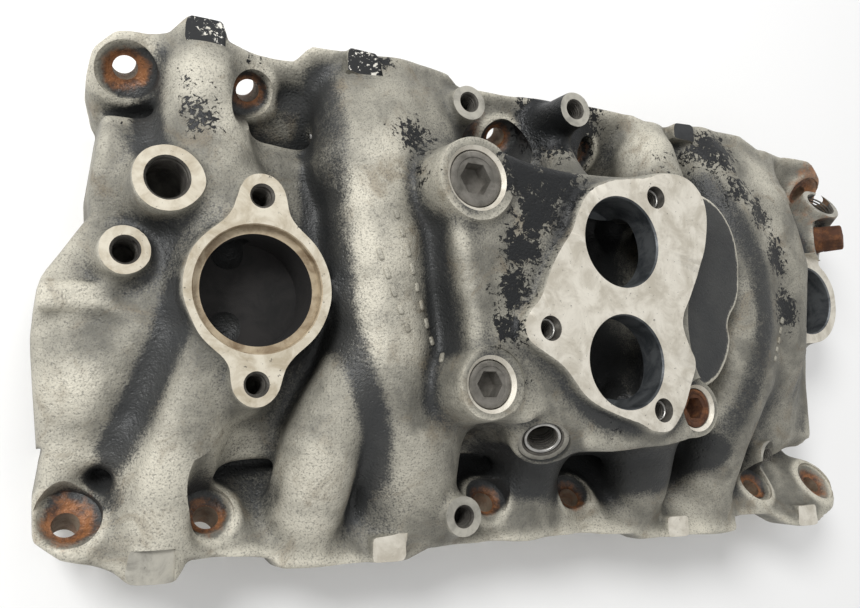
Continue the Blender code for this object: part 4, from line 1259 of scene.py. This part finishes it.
def rust_bloom():
    """Mottled orange and brown rust, with its own relief."""
    tree, given, out = group("rust_bloom", (PLACE, ("Cover", "NodeSocketFloat", 1.0)),
                             ("Color", "Mask", "Height"))
    patch = noise(tree, given["Place"], 140.0, 6.0, 0.7)
    speck = noise(tree, given["Place"], 900.0, 4.0, 0.7)
    deep = mixed(tree, ramp(tree, patch, 0.35, 0.65), (0.085, 0.032, 0.014), (0.34, 0.135, 0.045))
    color = mixed(tree, ramp(tree, speck, 0.55, 0.75), deep, (0.5, 0.26, 0.12))
    level = math_node(tree, "ADD", scaled(tree, patch, 0.9), given["Cover"])
    tree.links.new(color, out["Color"])
    tree.links.new(ramp(tree, level, 0.85, 1.3), out["Mask"])
    tree.links.new(speck, out["Height"])
    return tree


def cutter_marks():
    """Fine parallel or ringed lines that a milling or boring tool leaves."""
    tree, given, out = group("cutter_marks", (PLACE, ("Lines per metre", "NodeSocketFloat", 900.0)),
                             ("Height", "Stain"))
    wave = put(tree, "ShaderNodeTexWave", {
        "Vector": given["Place"], "Scale": given["Lines per metre"], "Distortion": 0.6, "Detail": 2.0,
        "Detail Scale": 0.3}, wave_type="BANDS", bands_direction="DIAGONAL")
    scratch = noise(tree, given["Place"], 1500.0, 2.0, 0.5)
    tree.links.new(summed(tree, scaled(tree, wave.outputs[1], 0.5), (scratch, 0.5)), out["Height"])
    tree.links.new(noise(tree, given["Place"], 90.0, 5.0, 0.65, 0.5), out["Stain"])
    return tree


def start_material(name, metallic, specular=0.5):
    """A material with its shader and the place that its patterns read."""
    material = bpy.data.materials.new(name)
    material.use_nodes = True
    tree = material.node_tree
    shader = tree.nodes["Principled BSDF"]
    shader.inputs["Metallic"].default_value = metallic
    shader.inputs["Specular IOR Level"].default_value = specular
    place = put(tree, "ShaderNodeTexCoord").outputs["Object"]
    return material, tree, shader, place


def finish_material(tree, shader, color, roughness, height, depth):
    for name, value in (("Base Color", color), ("Roughness", roughness)):
        tree.links.new(value, shader.inputs[name])
    bump = put(tree, "ShaderNodeBump", {"Height": height, "Strength": 1.0, "Distance": depth})
    tree.links.new(bump.outputs[0], shader.inputs["Normal"])


def mask(tree, name):
    return put(tree, "ShaderNodeAttribute", attribute_name=name).outputs["Fac"]


def make_cast_skin(groups):
    """Weathered sand casting: pale rubs and a painted highlight along the front ridge, sooty hollows
    darkened further as painted shade, black flakes and rust runs.
    """
    material, tree, shader, place = start_material("weathered_casting_with_painted_shade", 0.2, 0.4)
    grain = use(tree, groups["grain"], {"Place": place})
    close, wide = mask(tree, "close_hollow"), mask(tree, "wide_hollow")
    tone = mixed(tree, ramp(tree, grain["Mottle"], 0.32, 0.7), (0.13, 0.125, 0.105), (0.31, 0.295, 0.245))
    mottle, speckle = grain["Mottle"], grain["Speckle"]
    # Pale where the metal is rubbed, and a painted highlight along the front ridge and on open crests
    rubbed_and_lit = summed(tree, mask(tree, "pale"), (close, -1.4), (mottle, 0.5), (speckle, 0.5))
    tone = mixed(tree, ramp(tree, rubbed_and_lit, 0.5, 1.4), tone, (0.58, 0.55, 0.46))
    earth = ramp(tree, noise(tree, place, 55.0, 6.0, 0.68, 0.8), 0.5, 0.72)
    tone = mixed(tree, scaled(tree, earth, 0.55), tone, (0.17, 0.13, 0.08))
    grit = ramp(tree, grain["Grit"], 0.5, 0.68)
    tone = mixed(tree, scaled(tree, grit, 0.55), tone, (0.085, 0.083, 0.078))
    # Painted shade in the hollows and sooty grime: enclosed places and the darkening mask go near black
    dirt_and_shade = summed(tree, scaled(tree, close, 1.3), (wide, 0.5), (mask(tree, "darkening"), 0.85), (mottle, 0.6),
                  (speckle, 0.8), (grain["Grit"], 0.7))
    dirt_and_shade = scaled(tree, ramp(tree, dirt_and_shade, 1.12, 1.72), 0.93)
    tone = mixed(tree, dirt_and_shade, tone, (0.026, 0.028, 0.03))
    rusty = use(tree, groups["rust"], {"Place": place, "Cover": mask(tree, "rust")})
    tone = mixed(tree, scaled(tree, rusty["Mask"], 0.8), tone, rusty["Color"])
    flakes = use(tree, groups["flakes"], {"Place": place, "Cover": mask(tree, "paint")})["Mask"]
    tone = mixed(tree, flakes, tone, (0.008, 0.009, 0.01))
    rough = math_node(tree, "SUBTRACT", 0.6, scaled(tree, dirt_and_shade, 0.2))
    rough = math_node(tree, "SUBTRACT", rough, scaled(tree, flakes, 0.14))
    height = summed(tree, grain["Height"], (flakes, 0.6))
    finish_material(tree, shader, tone, rough, height, 0.0007)
    return material


def make_cut_metal(name, groups, light, dark, metallic, rough, lines, depth=0.00006, rust=0.0, darkening=0.4,
                   flecks=0.0):
    """A machined face or wall, with cutter marks, stains and a little rust."""
    material, tree, shader, place = start_material(name, metallic)
    marks = use(tree, groups["marks"], {"Place": place, "Lines per metre": lines})
    tone = mixed(tree, ramp(tree, marks["Stain"], 0.35, 0.7), light, dark)
    spots = ramp(tree, noise(tree, place, 500.0, 5.0, 0.7), 0.62, 0.7)
    tone = mixed(tree, scaled(tree, spots, darkening), tone, (0.03, 0.03, 0.03))
    rusty = use(tree, groups["rust"], {"Place": place, "Cover": rust})
    tone = mixed(tree, scaled(tree, rusty["Mask"], min(1.0, rust * 1.4)), tone, rusty["Color"])
    paint = use(tree, groups["flakes"], {"Place": place, "Cover": flecks})["Mask"]
    tone = mixed(tree, paint, tone, (0.01, 0.011, 0.012))
    roughness = math_node(tree, "ADD", rough, scaled(tree, marks["Stain"], 0.2))
    height = summed(tree, marks["Height"], (rusty["Height"], rust))
    finish_material(tree, shader, tone, roughness, height, depth)
    return material


# Key, name, light and dark tone, metallic, roughness, cutter lines per metre, and what else differs
CUT_METALS = (
    ("machined_face", "milled_aluminium", (0.74, 0.7, 0.61), (0.5, 0.46, 0.38), 0.3, 0.36, 1400.0,
     {"darkening": 0.75}),
    ("ivory_face", "oxidised_face", (0.66, 0.61, 0.5), (0.42, 0.36, 0.26), 0.2, 0.42, 1200.0, {"darkening": 0.9}),
    ("worn_face", "worn_face", (0.46, 0.44, 0.38), (0.24, 0.23, 0.2), 0.3, 0.45, 1200.0, {"darkening": 0.9}),
    ("flecked_face", "flecked_face", (0.82, 0.8, 0.74), (0.66, 0.63, 0.55), 0.2, 0.4, 1200.0,
     {"darkening": 0.8, "flecks": 0.95}),
    ("painted_face", "painted_face", (0.03, 0.032, 0.034), (0.012, 0.013, 0.014), 0.0, 0.42, 900.0,
     {"flecks": 0.3}),
    ("stained_face", "stained_face", (0.48, 0.4, 0.28), (0.2, 0.14, 0.08), 0.3, 0.4, 1200.0, {"rust": 0.25}),
    ("dark_bore", "dark_bore", (0.018, 0.016, 0.015), (0.01, 0.0095, 0.009), 0.0, 0.7, 1500.0, {}),
    ("rusty_seat", "rusted_seat", (0.3, 0.235, 0.165), (0.16, 0.1, 0.06), 0.15, 0.6, 1500.0,
     {"depth": 0.0003, "rust": 0.5}),
    ("bored_wall", "bored_wall", (0.17, 0.18, 0.185), (0.05, 0.056, 0.062), 0.55, 0.3, 1500.0, {}),
    ("threaded_wall", "threaded_wall", (0.16, 0.15, 0.13), (0.05, 0.045, 0.04), 0.5, 0.4, 1500.0,
     {"depth": 0.0002, "rust": 0.2}),
    ("plug_steel", "plug_steel", (0.24, 0.225, 0.2), (0.1, 0.095, 0.08), 0.55, 0.42, 1200.0,
     {"depth": 0.0002, "rust": 0.22}),
    ("rusty_steel", "rusty_steel", (0.13, 0.055, 0.03), (0.07, 0.03, 0.016), 0.2, 0.7, 900.0,
     {"depth": 0.0006, "rust": 0.6}),
    ("bright_steel", "bright_steel", (0.62, 0.61, 0.58), (0.35, 0.34, 0.32), 0.9, 0.22, 1500.0, {}),
    ("shield_steel", "oily_sheet", (0.16, 0.15, 0.14), (0.05, 0.048, 0.045), 0.7, 0.4, 700.0,
     {"depth": 0.0002, "rust": 0.2}),
)


def make_materials():
    groups = {"grain": casting_grain(), "flakes": flaked_coat(), "rust": rust_bloom(),
              "marks": cutter_marks()}
    made = {"cast_skin": make_cast_skin(groups)}
    for key, name, light, dark, metallic, rough, lines, others in CUT_METALS:
        made[key] = make_cut_metal(name, groups, light, dark, metallic, rough, lines, **others)
    return made


def make_casting(materials):
    points, faces = build_blank()
    mesh = bpy.data.meshes.new("manifold_body")
    mesh.from_pydata((points * MM).tolist(), [], faces.tolist())
    casting = linked("manifold_body", mesh)
    for name in FINISHES:
        mesh.materials.append(materials[name])
    thinned(casting, CASTING_TRIANGLES)
    machine(casting, face_cuts())
    machine(casting, hole_cuts())
    triangulated(casting)
    weather_and_shade(casting)
    casting.data.shade_smooth()
    casting.data.set_sharp_from_angle(angle=math.radians(40.0))
    return casting


# Repeated small pieces, grown by geometry nodes


def grower(name, **sizes):
    """A geometry node group with named sizes and a material, and its two ends."""
    tree = bpy.data.node_groups.new(name, "GeometryNodeTree")
    socketed(tree, [("Start", "NodeSocketGeometry", None)]
             + [(label, "NodeSocketFloat", value) for label, value in sizes.items()]
             + [("Material", "NodeSocketMaterial", None)])
    tree.interface.new_socket("Geometry", in_out="OUTPUT", socket_type="NodeSocketGeometry")
    return ends(tree)


def finish_grower(tree, given, out, geometry):
    real = put(tree, "GeometryNodeRealizeInstances", {"Geometry": geometry}).outputs[0]
    coated = put(tree, "GeometryNodeSetMaterial", {"Geometry": real, "Material": given["Material"]})
    tree.links.new(coated.outputs[0], out["Geometry"])
    return tree


def grown(name, tree, values, start=None):
    """The piece that a geometry node group makes from the given inputs."""
    piece = linked(name, start or bpy.data.meshes.new(name))
    modifier = piece.modifiers.new("grow", "NODES")
    modifier.node_group = tree
    for item in tree.interface.items_tree:
        if item.item_type == "SOCKET" and item.in_out == "INPUT" and item.name in values:
            modifier[item.identifier] = values[item.name]
    return baked(piece)


def thread_coil():
    """The crest of a screw thread: a fine ridge wound up a hole."""
    tree, given, out = grower("thread_coil", Radius=0.005, Pitch=0.0015, Length=0.01, Ridge=0.0005)
    turns = math_node(tree, "DIVIDE", given["Length"], given["Pitch"])
    spiral = put(tree, "GeometryNodeCurveSpiral", {
        "Resolution": 36, "Rotations": turns, "Start Radius": given["Radius"], "End Radius": given["Radius"],
        "Height": given["Length"]})
    ridge = put(tree, "GeometryNodeCurvePrimitiveCircle", {"Resolution": 5, "Radius": given["Ridge"]})
    swept = put(tree, "GeometryNodeCurveToMesh", {
        "Curve": spiral.outputs[0], "Profile Curve": ridge.outputs[0], "Fill Caps": True})
    return finish_grower(tree, given, out, swept.outputs[0])


def riveted():
    """Dome-headed rivets at the corners of a rectangle."""
    tree, given, out = grower("riveted", Span_X=0.08, Span_Y=0.05, Head=0.004, Rise=0.002, Shank=0.002,
                              Length=0.01)
    corners = put(tree, "GeometryNodeMeshGrid", {
        "Size X": given["Span_X"], "Size Y": given["Span_Y"], "Vertices X": 2, "Vertices Y": 2})
    ball = put(tree, "GeometryNodeMeshUVSphere", {"Segments": 32, "Rings": 16, "Radius": given["Head"]})
    half_rise = math_node(tree, "MULTIPLY", given["Rise"], 0.5)
    flat = put(tree, "ShaderNodeCombineXYZ", {
        "X": 1.0, "Y": 1.0, "Z": math_node(tree, "DIVIDE", half_rise, given["Head"])})
    drop = put(tree, "ShaderNodeCombineXYZ", {"Z": math_node(tree, "MULTIPLY", half_rise, -1.0)})
    dome = put(tree, "GeometryNodeTransform", {
        "Geometry": ball.outputs[0], "Scale": flat.outputs[0], "Translation": drop.outputs[0]})
    shank = put(tree, "GeometryNodeMeshCylinder", {
        "Vertices": 24, "Radius": given["Shank"], "Depth": given["Length"]})
    lift = put(tree, "ShaderNodeCombineXYZ", {"Z": math_node(tree, "MULTIPLY", given["Length"], 0.5)})
    raised = put(tree, "GeometryNodeTransform", {
        "Geometry": shank.outputs[0], "Translation": lift.outputs[0]})
    rivet = tree.nodes.new("GeometryNodeJoinGeometry")
    tree.links.new(dome.outputs[0], rivet.inputs[0])
    tree.links.new(raised.outputs[0], rivet.inputs[0])
    placed = put(tree, "GeometryNodeInstanceOnPoints", {
        "Points": corners.outputs[0], "Instance": rivet.outputs[0]})
    return finish_grower(tree, given, out, placed.outputs[0])


def raised_dashes():
    """Soft cast bars, one on each point, lying along the surface."""
    tree, given, out = grower("raised_dashes", Width=0.002, Height=0.002)
    fields = {}
    for name, kind in (("up", "FLOAT_VECTOR"), ("along", "FLOAT_VECTOR"), ("reach", "FLOAT")):
        named = put(tree, "GeometryNodeInputNamedAttribute", {"Name": name}, data_type=kind)
        fields[name] = named.outputs[0]
    size = put(tree, "ShaderNodeCombineXYZ", {"X": 1.0, "Y": given["Width"], "Z": given["Height"]})
    bar = put(tree, "GeometryNodeMeshCube", {"Size": size.outputs[0], "Vertices X": 4, "Vertices Y": 3,
                                             "Vertices Z": 3})
    soft = put(tree, "GeometryNodeSubdivisionSurface", {"Mesh": bar.outputs[0], "Level": 1})
    turn = put(tree, "FunctionNodeAxesToRotation", {
        "Primary Axis": fields["up"], "Secondary Axis": fields["along"]},
               primary_axis="Z", secondary_axis="X")
    stretch = put(tree, "ShaderNodeCombineXYZ", {"X": fields["reach"], "Y": 1.0, "Z": 1.0})
    placed = put(tree, "GeometryNodeInstanceOnPoints", {
        "Points": given["Start"], "Instance": soft.outputs[0], "Rotation": turn.outputs[0],
        "Scale": stretch.outputs[0]})
    return finish_grower(tree, given, out, placed.outputs[0])


def merged(name, pieces):
    """One object from several, with the first one's material."""
    whole = bmesh.new()
    material = pieces[0].data.materials[0]
    for piece in pieces:
        whole.from_mesh(piece.data)
        bpy.data.objects.remove(piece)
    data = bpy.data.meshes.new(name)
    whole.to_mesh(data)
    whole.free()
    data.materials.append(material)
    return linked(name, data)


def threaded_holes():
    """Foot, axis, radius, length and pitch of each screw thread."""
    holes = []
    for x, y, top, _radius, hole, depth in (HEATER_BOSS, SENDER_BOSS) + BRACKET_BOSSES:
        holes.append(((x, y, top - depth + 4.0), UP, hole, depth - 6.0, 1.5))
    for mouth, axis, _radius, hole, depth in (REAR_PORT, SIDE_PORT):
        axis = Vector(axis).normalized()
        inner = SLEEVE_BORE if mouth == SIDE_PORT[0] else hole
        holes.append((Vector(mouth) - axis * (depth - 4.0), axis, inner, depth - 5.5, 1.8))
    for node in STUD_INSERTS:
        x, y, foot, top, _radius = upright(node)
        holes.append(((x, y, foot + 1.0), UP, INSERT_BORE, top - foot - 2.0, 1.25))
    for side in (-1, 1):
        foot = (THERMOSTAT[0], THERMOSTAT[1] + side * OUTLET_SPACING / 2, THERMOSTAT_TOP - 16.0)
        holes.append((foot, UP, OUTLET_HOLE, 13.5, 1.5))
    return holes


def make_threads(material):
    tree = thread_coil()
    coils = []
    for foot, axis, radius, length, pitch in threaded_holes():
        ridge = 0.3 * pitch
        coil = grown("thread", tree, {
            "Radius": (radius - 0.05) * MM, "Pitch": pitch * MM, "Length": length * MM, "Ridge": ridge * MM,
            "Material": material})
        up, side, other = axis_frame(axis)
        turn = Matrix((side, other, up)).transposed().to_4x4()
        coil.data.transform(Matrix.Translation(Vector(foot) * MM) @ turn)
        coils.append(coil)
    return merged("thread_crests", coils)


DASH_LINES = (
    (((-97, 37), (-84, 1), (-70, -32)), 3, 9),
    (((-104, 19), (-96, -2), (-88, -20)), 5, 5),
    (((152, 4), (147, -10), (139, -24)), 7, 5),
)


def dash_points(casting):
    """Where the cast dashes sit, found by dropping lines onto the casting."""
    tree = BVHTree.FromObject(casting, bpy.context.evaluated_depsgraph_get())
    places, ups, alongs, reaches = [], [], [], []
    for path, seed, count in DASH_LINES:
        random = np.random.default_rng(seed)
        legs = [Vector((*b, 0)) - Vector((*a, 0)) for a, b in zip(path, path[1:])]
        total = sum(leg.length for leg in legs)
        for index in range(count):
            gone = total * (index + 0.5) / count
            leg_index = 0 if gone < legs[0].length else 1
            start = Vector((*path[leg_index], 0))
            leg = legs[leg_index]
            rest = gone - (legs[0].length if leg_index else 0.0)
            place = start + leg.normalized() * rest
            above = Vector((place.x, place.y, PAD_TOP + FAR)) * MM
            hit, normal, _index, _far = tree.ray_cast(above, -Vector(UP))
            if hit is None:
                continue
            places.append(hit)
            ups.append(normal)
            alongs.append(leg.normalized())
            reaches.append(total / count * random.uniform(0.45, 0.72) * MM)
    mesh = bpy.data.meshes.new("dash_points")
    mesh.from_pydata(places, [], [])
    for name, values in (("up", ups), ("along", alongs)):
        layer = mesh.attributes.new(name, "FLOAT_VECTOR", "POINT")
        layer.data.foreach_set("vector", [c for value in values for c in value])
    keep_mask(mesh, "reach", reaches)
    return mesh


def make_dashes(casting, material):
    dashes = grown("cast_dashes", raised_dashes(), {
        "Width": 2.4 * MM, "Height": 1.8 * MM, "Material": material}, dash_points(casting))
    for name, value in (("close_hollow", -0.1), ("pale", 0.25)):
        keep_mask(dashes.data, name, np.full(len(dashes.data.vertices), value))
    dashes.data.shade_smooth()
    return dashes


# Plugs, sleeves and the shield


def turned_piece(name, start, axis, profile, material, segments=64, turn=0.0):
    """A closed turned solid."""
    rings = turned_rings(start, axis, profile, segments)
    if turn:
        spin = Matrix.Rotation(turn, 3, Vector(axis).normalized())
        rings = [[Vector(start) + spin @ (point - Vector(start)) for point in ring] for ring in rings]
    piece = joined(name, [cutter(rings, "cast_skin")])
    piece.data.materials.append(material)
    return piece


def bevelled(piece, width):
    modifier = piece.modifiers.new("round", "BEVEL")
    modifier.width = width * MM
    modifier.segments = 2
    modifier.limit_method = "ANGLE"
    modifier.angle_limit = math.radians(50.0)
    modifier.use_clamp_overlap = True
    return baked(piece)


def shaded(piece, degrees=32.0):
    piece.data.shade_smooth()
    piece.data.set_sharp_from_angle(angle=math.radians(degrees))
    return piece


def make_socket_plug(node, material):
    """A threaded plug: a rim, a shallow ring and a hexagon socket with a drilled bottom."""
    x, y, foot, top, radius = upright(node)
    length = top - foot
    profile = [(0.0, radius - 1.4), (1.4, radius - 0.2)]
    steps = int((length - 4.0) / 0.9)
    for step in range(steps):
        profile.append((1.4 + (step + 0.5) * 0.9, radius - (0.0 if step % 2 else 0.6)))
    profile += [(length - 1.2, radius), (length - 0.3, radius - 0.35), (length, radius - 1.0)]
    plug = turned_piece(f"{node}_look", (x, y, foot), UP, profile, material)
    corner = radius * SOCKET_SHARE / math.cos(math.pi / 6)
    socket = ((-SOCKET_DEPTH - 1.6, 0.3), (-SOCKET_DEPTH, corner * 0.86), (-SOCKET_DEPTH + 0.01, corner),
              (-0.7, corner), (0.4, corner + 1.3))
    dish = ((-0.5, radius * 0.74), (0.5, radius * 0.78))
    for cut, sides in ((socket, 6), (dish, 64)):
        machine(plug, [turned_cutter((x, y, top), UP, cut, "cast_skin", sides)])
    return shaded(bevelled(plug, 0.25))


def make_square_plug(material):
    """A threaded plug with a rounded square head on its round collar."""
    mouth, axis, _radius, _hole, _depth = SQUARE_PLUG
    axis = Vector(axis).normalized()
    radius = SQUARE_THREAD_RADIUS
    start = Vector(mouth) - axis * (SQUARE_THREAD_LENGTH - FIT_GAP)
    shank = [(0.0, radius - 1.4), (1.2, radius - 0.3)]
    for step in range(int((SQUARE_THREAD_LENGTH - 1.6) / 0.9)):
        shank.append((1.6 + step * 0.9, radius - (0.0 if step % 2 else 0.6)))
    collar = SQUARE_THREAD_LENGTH + SQUARE_COLLAR
    shank += [(SQUARE_THREAD_LENGTH, radius), (collar - 0.8, radius - 0.6), (collar, radius - 1.2)]
    body = turned_piece("rear_square_head_plug_look", start, axis, shank, material)
    corner = SQUARE_HALF_WIDTH * math.sqrt(2.0)
    head = ((collar - 1.0, corner), (collar + SQUARE_HEIGHT - 1.2, corner * 0.955),
            (collar + SQUARE_HEIGHT - 1.0, corner * 0.95), (collar + SQUARE_HEIGHT, corner * 0.85))
    square = turned_piece("square_head", start, axis, head, material, 4, math.radians(20.0))
    bevelled(square, 0.9)
    modifier = body.modifiers.new("join", "BOOLEAN")
    modifier.operation = "UNION"
    modifier.solver = "EXACT"
    modifier.object = square
    baked(body)
    bpy.data.objects.remove(square)
    return shaded(body)


def make_tube(name, start, axis, length, outer, inner, material):
    """A plain sleeve with its edges broken."""
    edge = 0.35
    profile = ((0.0, inner + edge), (0.0, outer - edge), (edge, outer), (length - edge, outer),
               (length, outer - edge), (length, inner + edge), (length - edge, inner), (edge, inner))
    piece = joined(name, [skinned(turned_rings(start, axis, profile, 56), False)])
    piece.data.materials.append(material)
    return shaded(piece)


def make_inserts(material):
    """The three threaded steel inserts in the throttle pad."""
    tubes = []
    for node in STUD_INSERTS:
        x, y, foot, top, radius = upright(node)
        tube = make_tube(f"{node}_look", (x, y, foot), UP, top - foot, radius, INSERT_BORE, material)
        tubes.append((tube, node))
    return tubes


def make_shield(material):
    """A pressed sheet with upturned ends, a rolled edge and three shallow ribs."""
    low, high = node_box("splash_shield")
    columns, rows = 72, 40
    bend = 1.6
    length, width = high[0] - low[0], high[1] - low[1]
    points = []
    for column in range(columns + 1):
        along = (column / columns - 0.5) * (length + 2 * (SHIELD_FLANGE - bend))
        flat = length / 2 - bend
        over = abs(along) - flat
        for row in range(rows + 1):
            across = (row / rows - 0.5) * width
            rib = sum(math.exp(-((across - place) / 2.6) ** 2) for place in (-18.0, 0.0, 18.0))
            fade = min(1.0, max(0.0, (flat - 14.0 - abs(along)) / 6.0))
            lift, x = 0.8 * rib * fade, along
            if over > 0:
                angle = min(over / bend, math.pi / 2)
                x = math.copysign(flat + bend * math.sin(angle), along)
                lift = bend * (1 - math.cos(angle)) + max(0.0, over - bend * math.pi / 2)
            points.append(((low[0] + high[0]) / 2 + x, (low[1] + high[1]) / 2 + across, low[2] + lift))
    faces = []
    for column in range(columns):
        for row in range(rows):
            first = column * (rows + 1) + row
            faces.append((first, first + 1, first + rows + 2, first + rows + 1))
    mesh = bpy.data.meshes.new("splash_shield_sheet")
    mesh.from_pydata([tuple(c * MM for c in point) for point in points], [], faces)
    mesh.materials.append(material)
    sheet = linked("splash_shield_sheet", mesh)
    modifier = sheet.modifiers.new("wall", "SOLIDIFY")
    modifier.thickness = (SHIELD_WALL - 0.1) * MM
    modifier.offset = -1.0
    return shaded(baked(sheet))


def make_rivets(material):
    rivets = grown("splash_shield_rivets", riveted(), {
        "Span_X": RIVET_SPAN[0] * MM, "Span_Y": RIVET_SPAN[1] * MM, "Head": RIVET_HEAD * MM,
        "Rise": RIVET_RISE * MM, "Shank": RIVET_SHANK * MM, "Length": RIVET_LENGTH * MM,
        "Material": material})
    rivets.data.transform(Matrix.Translation((0, 0, (SHIELD_LOW - FIT_GAP) * MM)))
    return shaded(rivets)


def make_fittings(materials):
    """Every piece that isn't the casting, with the nodes that it stands for."""
    fittings = []
    for node, _radius in PLUG_BOSSES:
        steel = "rusty_steel" if node == "rear_left_socket_plug" else "plug_steel"
        fittings.append((make_socket_plug(node, materials[steel]), [node]))
    fittings.append((make_square_plug(materials["rusty_steel"]), ["rear_square_head_plug"]))
    for tube, node in make_inserts(materials["bright_steel"]):
        fittings.append((tube, [node]))
    mouth, axis, _radius, _hole, depth = SIDE_PORT
    foot = Vector(mouth) - Vector(axis).normalized() * (depth - FIT_GAP)
    sleeve = make_tube("side_port_sleeve_look", foot, axis, SLEEVE_LENGTH, SLEEVE_OUTER, SLEEVE_BORE,
                       materials["bright_steel"])
    fittings.append((sleeve, ["side_port_sleeve"]))
    fittings.append((make_shield(materials["shield_steel"]), ["splash_shield"]))
    rivets = [f"splash_shield_rivet_{number}" for number in range(1, len(RIVET_PLACES) + 1)]
    fittings.append((make_rivets(materials["bright_steel"]), rivets))
    return fittings


# The stage: pale floor, soft light, and the camera


CAMERA_PLACE = Vector((-0.23597, -0.05759, 0.37740))
CAMERA_TARGET = Vector((-0.0626, 0.0062, 0.04))
CAMERA_ROLL = math.radians(-0.23)
CAMERA_LENS = 33.27
FRAME_DROP = -0.014
LIGHT_TARGET = Vector((0, 0, 0.04))
FLOOR_SIZE = 8.0
FLOOR_GAP = 0.0003             # keeps the floor clear of the feet


def make_camera():
    data = bpy.data.cameras.new("camera")
    data.lens = CAMERA_LENS
    data.sensor_width = 36.0
    data.shift_y = FRAME_DROP
    data.clip_start = 0.01
    camera = linked("camera", data)
    ahead = (CAMERA_TARGET - CAMERA_PLACE).normalized()
    right = ahead.cross(Vector((0, 1, 0))).normalized()
    up = right.cross(ahead)
    turn = Matrix((right, up, -ahead)).transposed().to_4x4() @ Matrix.Rotation(CAMERA_ROLL, 4, "Z")
    camera.matrix_world = Matrix.Translation(CAMERA_PLACE) @ turn
    bpy.context.scene.camera = camera


def make_light(name, place, size, power):
    data = bpy.data.lights.new(name, "AREA")
    data.shape = "DISK"
    data.size = size
    data.energy = power
    light = linked(name, data)
    light.location = place
    light.rotation_euler = (LIGHT_TARGET - Vector(place)).to_track_quat("-Z", "Y").to_euler()


def make_stage():
    bpy.ops.mesh.primitive_plane_add(size=FLOOR_SIZE, location=(0, 0, -FLOOR_GAP))
    floor = bpy.context.object
    floor.name = "floor"
    material = bpy.data.materials.new("pale_floor")
    material.use_nodes = True
    shader = material.node_tree.nodes["Principled BSDF"]
    shader.inputs["Base Color"].default_value = (0.92, 0.92, 0.915, 1)
    shader.inputs["Roughness"].default_value = 0.8
    floor.data.materials.append(material)
    bpy.context.scene.view_settings.view_transform = "Standard"
    world = bpy.data.worlds.new("studio")
    world.use_nodes = True
    world.node_tree.nodes["Background"].inputs[0].default_value = (1.0, 1.0, 1.0, 1)
    world.node_tree.nodes["Background"].inputs[1].default_value = 0.62
    bpy.context.scene.world = world
    make_light("key", (-0.8, 0.5, 0.9), 0.45, 11.0)
    make_light("fill", (0.3, 1.0, 1.0), 1.0, 3.0)


MATERIALS = make_materials()
make_camera()
make_stage()
casting = make_casting(MATERIALS)
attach(casting, "root")
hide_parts("manifold_casting")
for piece, slot in ((make_threads(MATERIALS["threaded_wall"]), "cast_aluminium"),
                    (make_dashes(casting, MATERIALS["cast_skin"]), "cast_aluminium")):
    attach(piece, "root")
for piece, nodes in make_fittings(MATERIALS):
    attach(piece, "root")
    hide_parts(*nodes)
